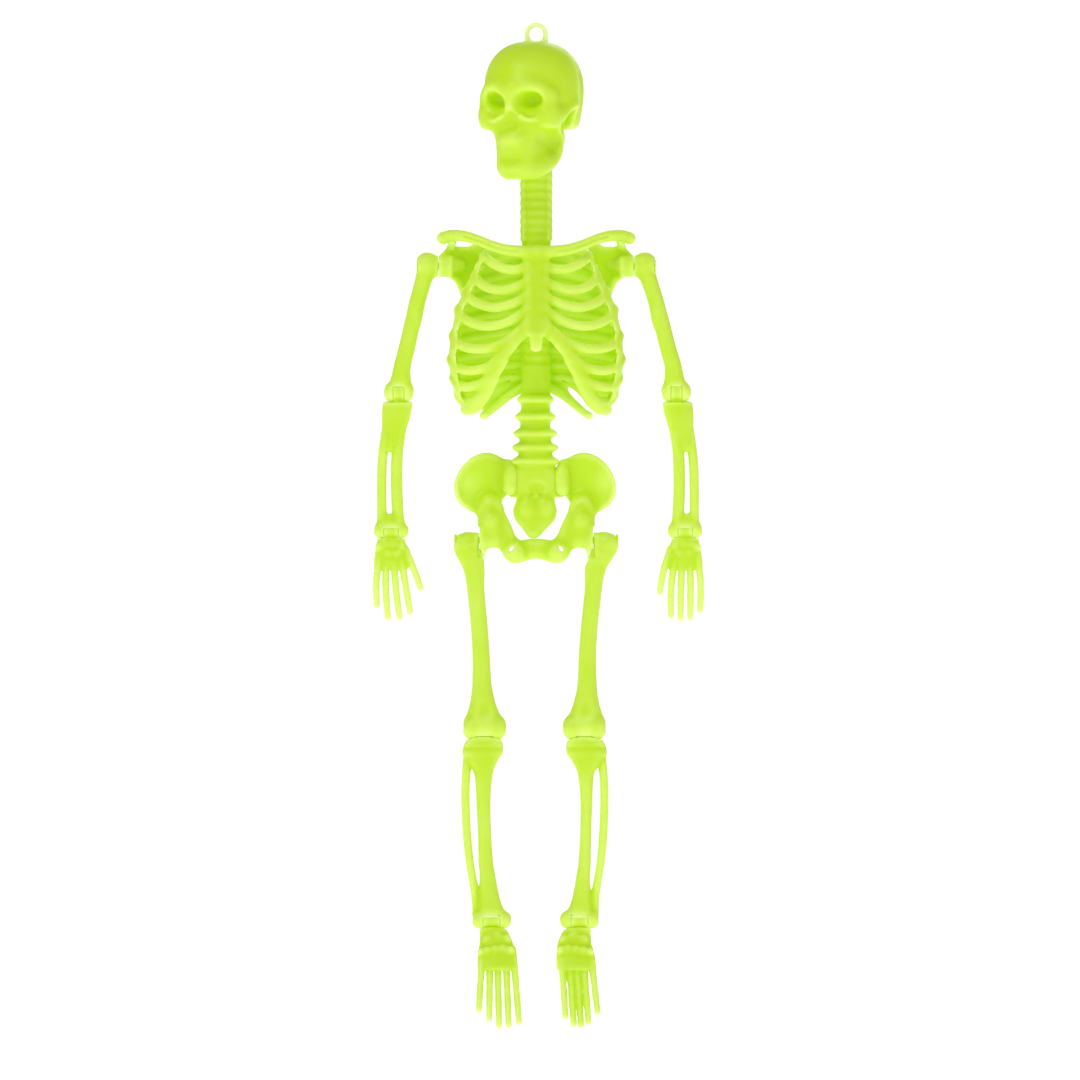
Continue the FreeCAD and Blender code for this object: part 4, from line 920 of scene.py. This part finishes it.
def span(side, x0, x1, y0, y1, z0, z1):
    """Lowest and highest corner of a box whose x is given away from the middle plane."""
    low, high = sorted((side * x0, side * x1))
    return (low, y0, z0), (high, y1, z1)


def pin_recess(clay, side, at, face_x, pin):
    """The round recess that a swivel pin's head lies in, sunk into a face at that x."""
    half = 4
    middle = (side * (face_x - SWIVEL_HEAD_DEPTH + half), at[1], at[2])
    clay.take(rod(middle, 1.7 * pin + 0.15, half, edge=0.1))


FINGERS = {  # from little finger to thumb: x and z at the root, x and z at the tip, outward bow between them
    "right": [(49.9, -166.6, 51.0, -182.8, 0.7), (48.0, -167, 47.5, -186.6, 0.4),
              (45.7, -167, 43.8, -186.6, 0.2), (43.4, -166.6, 40.4, -184.8, 0.0),
              (42.0, -164.6, 37.0, -177.2, -0.2)],
    "left": [(51.4, -166.6, 52.4, -184.2, 0.7), (49.2, -167, 49.3, -186.6, 0.1),
             (46.8, -167, 46.2, -187.0, -0.2), (44.6, -166.6, 43.1, -186.0, -0.6),
             (43.0, -164.6, 39.6, -178.4, -0.5)],
}


def hand(name, side, wrist):
    """A palm with low wrist bones, and five finger bones with knuckles."""
    x = abs(wrist[0])
    clay = Clay(*span(side, 35, 56, -4, 6, -189.5, -156), 0.27)
    clay.add(limb(level_rows(side, x, [
        (-160.8, 0, 0, 4.3, 1.8), (-162.6, 0, 0, 4.6, 1.8), (-165.4, -0.4, 0, 5.5, 1.7),
        (-168.6, -0.3, -0.2, 5.9, 1.4), (-171.4, 0, -0.4, 5.4, 0.9)]), edge=0.7))
    for root_x, root_z, tip_x, tip_z, out in FINGERS[name]:
        line = []
        for share, radius in ((0, 1.1), (0.22, 1.06), (0.42, 1.13), (0.55, 1.04), (0.72, 1.08), (0.85, 1.0),
                              (1, 0.98)):
            bow = out * math.sin(math.pi * share)
            curl = -0.9 * math.sin(math.pi * share) - 0.2 * share
            line.append((side * (root_x + (tip_x - root_x) * share + bow), LIMB_Y - 0.1 + curl,
                         root_z + (tip_z - root_z) * share, radius))
        clay.add(tube(line, per_span=4, flat=0.95), 0.55)
    # wrist bones show as low bumps on the back of the hand
    for shift, z in ((-3.0, -163.6), (-0.6, -163.0), (1.8, -163.2), (3.7, -164.0), (-1.8, -165.6),
                     (1.0, -165.6)):
        clay.add(egg((side * (x + shift), LIMB_Y - 1.1, z), (1.3, 0.75, 1.15)), 1.0)
    hang_on(clay, "wrist", f"wrist_bend_{name}")
    finish(clay, f"hand_{name}_bones", f"hand_{name}", [f"hand_{name}"])


def leg(name, side):
    """Thigh bone, lower leg of two bones, and foot."""
    hip, knee, ankle = (PIVOT[f"{joint}_{name}"] for joint in ("hip_swing", "knee_bend", "ankle_bend"))
    top = ({"right": 21.9, "left": 21.5}[name], -164.4)
    bend = (abs(knee[0]), knee[2])
    foot_at = (abs(ankle[0]), ankle[2])
    face_x = abs(hip[0]) + GAP / 2
    gain = BOW_GAIN[name]

    clay = Clay(*span(side, 7, 28, -5, 8, -228, -157), 0.36)
    clay.add(limb(limb_rows(side, top, bend, [
        (-162.6, 0, 4.1, 3.4), (-166, -0.25, 4.5, 3.5), (-168.6, -0.8, 4.0, 3.3), (-171.4, -1.3, 3.4, 3.0),
        (-178.4, -1.3, 2.75, 2.65), (-190, -1.3, 2.7, 2.6), (-200, -1.0, 2.8, 2.7), (-208, -0.45, 3.1, 2.9),
        (-213.6, -0.2, 4.0, 3.3), (-218, 0, 5.4, 3.7), (-221.9, 0, 6.6, 4.0)], gain)))
    clay.add(egg((side * 22.8, LIMB_Y, -163.0), (3.8, 3.7, 3.5)), 1.0)
    half = (22.4 - face_x) / 2
    clay.add(rod((side * (face_x + half), LIMB_Y, hip[2]), 2.55, half, edge=0.3), 1.4)
    clay.take(hip_cone(hip, side, face_x, 1, -150.0))
    # the inner edges in front and behind stay clear of the pelvis when the thigh swings
    for near, far in ((-9.0, -1.8), (2.1, 9.0)):
        clay.take(block(*span(side, 8, 18.8, LIMB_Y + near, LIMB_Y + far, hip[2] - 5.4, hip[2] + 5)), 0.4)
    # the groove between the condyles, seen from the front
    clay.take(egg((side * abs(knee[0]), LIMB_Y - 4.6, -216.6), (2.2, 1.5, 3.6)), 1.2)
    fork(clay, "knee", f"knee_bend_{name}", side)
    pin_recess(clay, side, hip, 26.4, 1.1)
    finish(clay, f"femur_{name}_bone", f"thigh_{name}", [f"femur_{name}"])

    slim = {"right": 0.0, "left": 0.35}[name]
    clay = Clay(*span(side, 5, 27, -6, 8, -288, -216.5), 0.34)
    clay.add(limb(limb_rows(side, bend, foot_at, [
        (-225.8, 0.3, 5.7, 3.0), (-228, 0.6, 6.4, 3.4), (-229.8, 0.9, 6.5, 3.5), (-232.4, 1.1, 5.0, 3.2),
        (-237, 0.85, 2.95 - slim, 2.7), (-245, 1.2, 2.3 - slim, 2.3), (-255, 1.25, 2.15 - slim, 2.15),
        (-265, 1.15, 2.35 - slim, 2.2), (-270, 0.75, 2.6 - slim, 2.3), (-275, 0.6, 3.2 - slim, 2.5),
        (-279.4, 0.4, 4.2 - slim, 2.7), (-283.4, 0, 6.05, 2.8)])))
    # front lip that closes over the knee's knuckle
    clay.add(limb(limb_rows(side, bend, foot_at, [
        (-223.9, 0.2, 4.9, 1.5), (-225.4, 0.3, 5.5, 1.8), (-228, 0.6, 6.2, 2.0)], lift=-1.5)), 0.5)
    small = [(-229.4, 5.3, 1.6), (-234, 6.1, 1.4), (-241, 6.8, 1.35), (-249, 7.0, 1.35), (-257, 6.85, 1.35),
             (-265, 6.3, 1.3), (-271, 5.5, 1.3), (-276, 4.8, 1.45), (-281.5, 4.4, 1.65)]
    clay.add(tube([(side * along(bend, foot_at, z, shift), LIMB_Y + 0.4, z, radius)
                   for z, shift, radius in small]), 0.7)
    hang_on(clay, "knee", f"knee_bend_{name}")
    fork(clay, "ankle", f"ankle_bend_{name}", side)
    finish(clay, f"shin_{name}_bones", f"lower_leg_{name}", [f"shin_{name}"])
    foot(name, side, ankle)


TOES = {  # from little toe to big toe: x at the root, x and z at the tip
    "right": [(17.2, 18.3, -311.6), (14.8, 15.0, -314.6), (12.4, 11.9, -316.8), (9.8, 8.8, -316.6),
              (7.4, 5.5, -315.6)],
    "left": [(17.2, 19.6, -312.4), (14.8, 16.7, -315.6), (12.6, 14.3, -316.6), (10.4, 11.9, -316.2),
             (7.9, 9.3, -313.8)],
}
# how far the instep wanders from under the ankle at four heights, from the top down
FOOT_DRIFT = {"right": (-1.0, -1.6, -1.8, -2.0), "left": (-1.2, -1.6, -1.2, -1.0)}


def foot(name, side, ankle):
    """An instep that slopes down and forward, a heel and five toe bones."""
    x = abs(ankle[0])
    drift = FOOT_DRIFT[name]
    clay = Clay(*span(side, 3, 23, -13, 9, -319.5, -280), 0.28)
    clay.add(limb(level_rows(side, x, [
        (-285.4, 0, 0, 4.1, 2.4), (-288.2, drift[0], -0.3, 4.8, 2.5), (-291.6, drift[1], -1.6, 5.6, 2.3),
        (-295.6, drift[2], -3.6, 6.3, 1.8), (-299.4, drift[3], -5.6, 6.5, 1.0)]), edge=0.8))
    clay.add(egg((side * (x - 0.8), LIMB_Y + 3.0, -289.6), (3.1, 3.7, 2.9)), 2.0)
    for root_x, tip_x, tip_z in TOES[name]:
        root_z, root_y, tip_y = -292.6, LIMB_Y - 2.2, LIMB_Y - 11.6
        line = []
        for share, radius in ((0, 1.0), (0.2, 1.1), (0.42, 1.15), (0.54, 1.05), (0.7, 1.12), (0.84, 1.03),
                              (1, 1.02)):
            y = root_y + (tip_y - root_y) * share ** 1.05
            line.append((side * (root_x + (tip_x - root_x) * share), y,
                         root_z + (tip_z - root_z) * share, radius))
        clay.add(tube(line, per_span=4), 0.45)
    # bones of the instep
    for shift, z, size in ((-3.4, -289.6, 1.5), (-0.4, -288.8, 1.6), (2.6, -289.6, 1.5), (-4.6, -292.8, 1.3),
                           (-2.2, -292.4, 1.35), (0.3, -292.6, 1.3), (2.8, -293.0, 1.3), (4.9, -293.4, 1.1)):
        depth = LIMB_Y - 2.5 - max(0, (-289.0 - z)) * 0.5
        clay.add(egg((side * (x - 1.4 + shift), depth + 0.2, z), (size, 0.9, size)), 1.1)
    hang_on(clay, "ankle", f"ankle_bend_{name}")
    finish(clay, f"foot_{name}_bones", f"foot_{name}", [f"foot_{name}"])


# ------------------------------------------------------------------ build
hanging_ring()
skull()
spine()
front_cage()
rear_cage()
pelvis()
for side_name, side_sign in SIDES.items():
    arm(side_name, side_sign)
    leg(side_name, side_sign)
for node_name, node in frame["nodes"].items():
    if "_pin_" in node_name:
        node.data.materials.clear()
        node.data.materials.append(PIN)
        node.data.shade_smooth()


# ------------------------------------------------------------------ stage, light and camera
def floor():
    """A pale floor a little under the toes."""
    size, height = 12.0, cad_box[0][2] - 0.03
    mesh = bpy.data.meshes.new("floor")
    corners = [(x * size, y * size, height) for x, y in ((-1, -1), (1, -1), (1, 1), (-1, 1))]
    mesh.from_pydata(corners, [], [(0, 1, 2, 3)])
    made = new_object("floor", mesh)
    paint = bpy.data.materials.new("floor_paint")
    paint.use_nodes = True
    shader = paint.node_tree.nodes["Principled BSDF"]
    set_inputs(shader, Base_Color=(0.95, 0.95, 0.95, 1), Roughness=0.9, Specular_IOR_Level=0.1,
               Emission_Color=(1, 1, 1, 1), Emission_Strength=0.75)
    mesh.materials.append(paint)


ROOM_LIGHT = 0.34   # strength of the plain light from all round


def softbox(name, place, aim, size, power):
    """A soft lamp at a place, turned towards another."""
    light = bpy.data.lights.new(name, "AREA")
    light.shape = "RECTANGLE"
    light.size, light.size_y = size
    light.energy = power
    made = new_object(name, light)
    made.location = place
    made.rotation_euler = (Vector(aim) - Vector(place)).to_track_quat("-Z", "Y").to_euler()


def studio():
    """Even light from all round, three soft lamps, and a plain white backdrop for the camera."""
    scene = bpy.context.scene
    scene.view_settings.view_transform = "Standard"
    world = bpy.data.worlds.new("studio")
    scene.world = world
    world.use_nodes = True
    tree = world.node_tree
    sky = tree.nodes["Background"]
    set_inputs(sky, Color=(1, 1, 1, 1), Strength=ROOM_LIGHT)
    backdrop = node_of(tree, "ShaderNodeBackground", (0, -200), Color=(1, 1, 1, 1), Strength=1.06)
    seen = node_of(tree, "ShaderNodeLightPath", (0, 300))
    choice = node_of(tree, "ShaderNodeMixShader", (250, 0))
    tree.links.new(seen.outputs["Is Camera Ray"], choice.inputs["Fac"])
    tree.links.new(sky.outputs[0], choice.inputs[1])
    tree.links.new(backdrop.outputs[0], choice.inputs[2])
    tree.links.new(choice.outputs[0], tree.nodes["World Output"].inputs["Surface"])
    middle = (0, 0, -0.16)
    softbox("key", (-0.7, -1.3, 1.4), middle, (0.7, 0.7), 14)
    softbox("fill", (1.2, -1.3, 0.2), middle, (0.9, 0.9), 2.4)
    softbox("rear", (0.3, 1.5, 0.6), middle, (0.9, 0.9), 4)


def camera():
    """Level with the middle of the figure, straight in front of it, through a long lens."""
    distance, sensor, frame_width = 3.2, 36.0, 0.3456
    lens = bpy.data.cameras.new("camera")
    lens.sensor_width = sensor
    lens.lens = sensor * distance / frame_width
    made = new_object("camera", lens)
    made.location = (0.0012, -distance, -0.1618)
    made.rotation_euler = (math.pi / 2, 0, 0)
    bpy.context.scene.camera = made


floor()
studio()
camera()
bpy.context.view_layer.update()
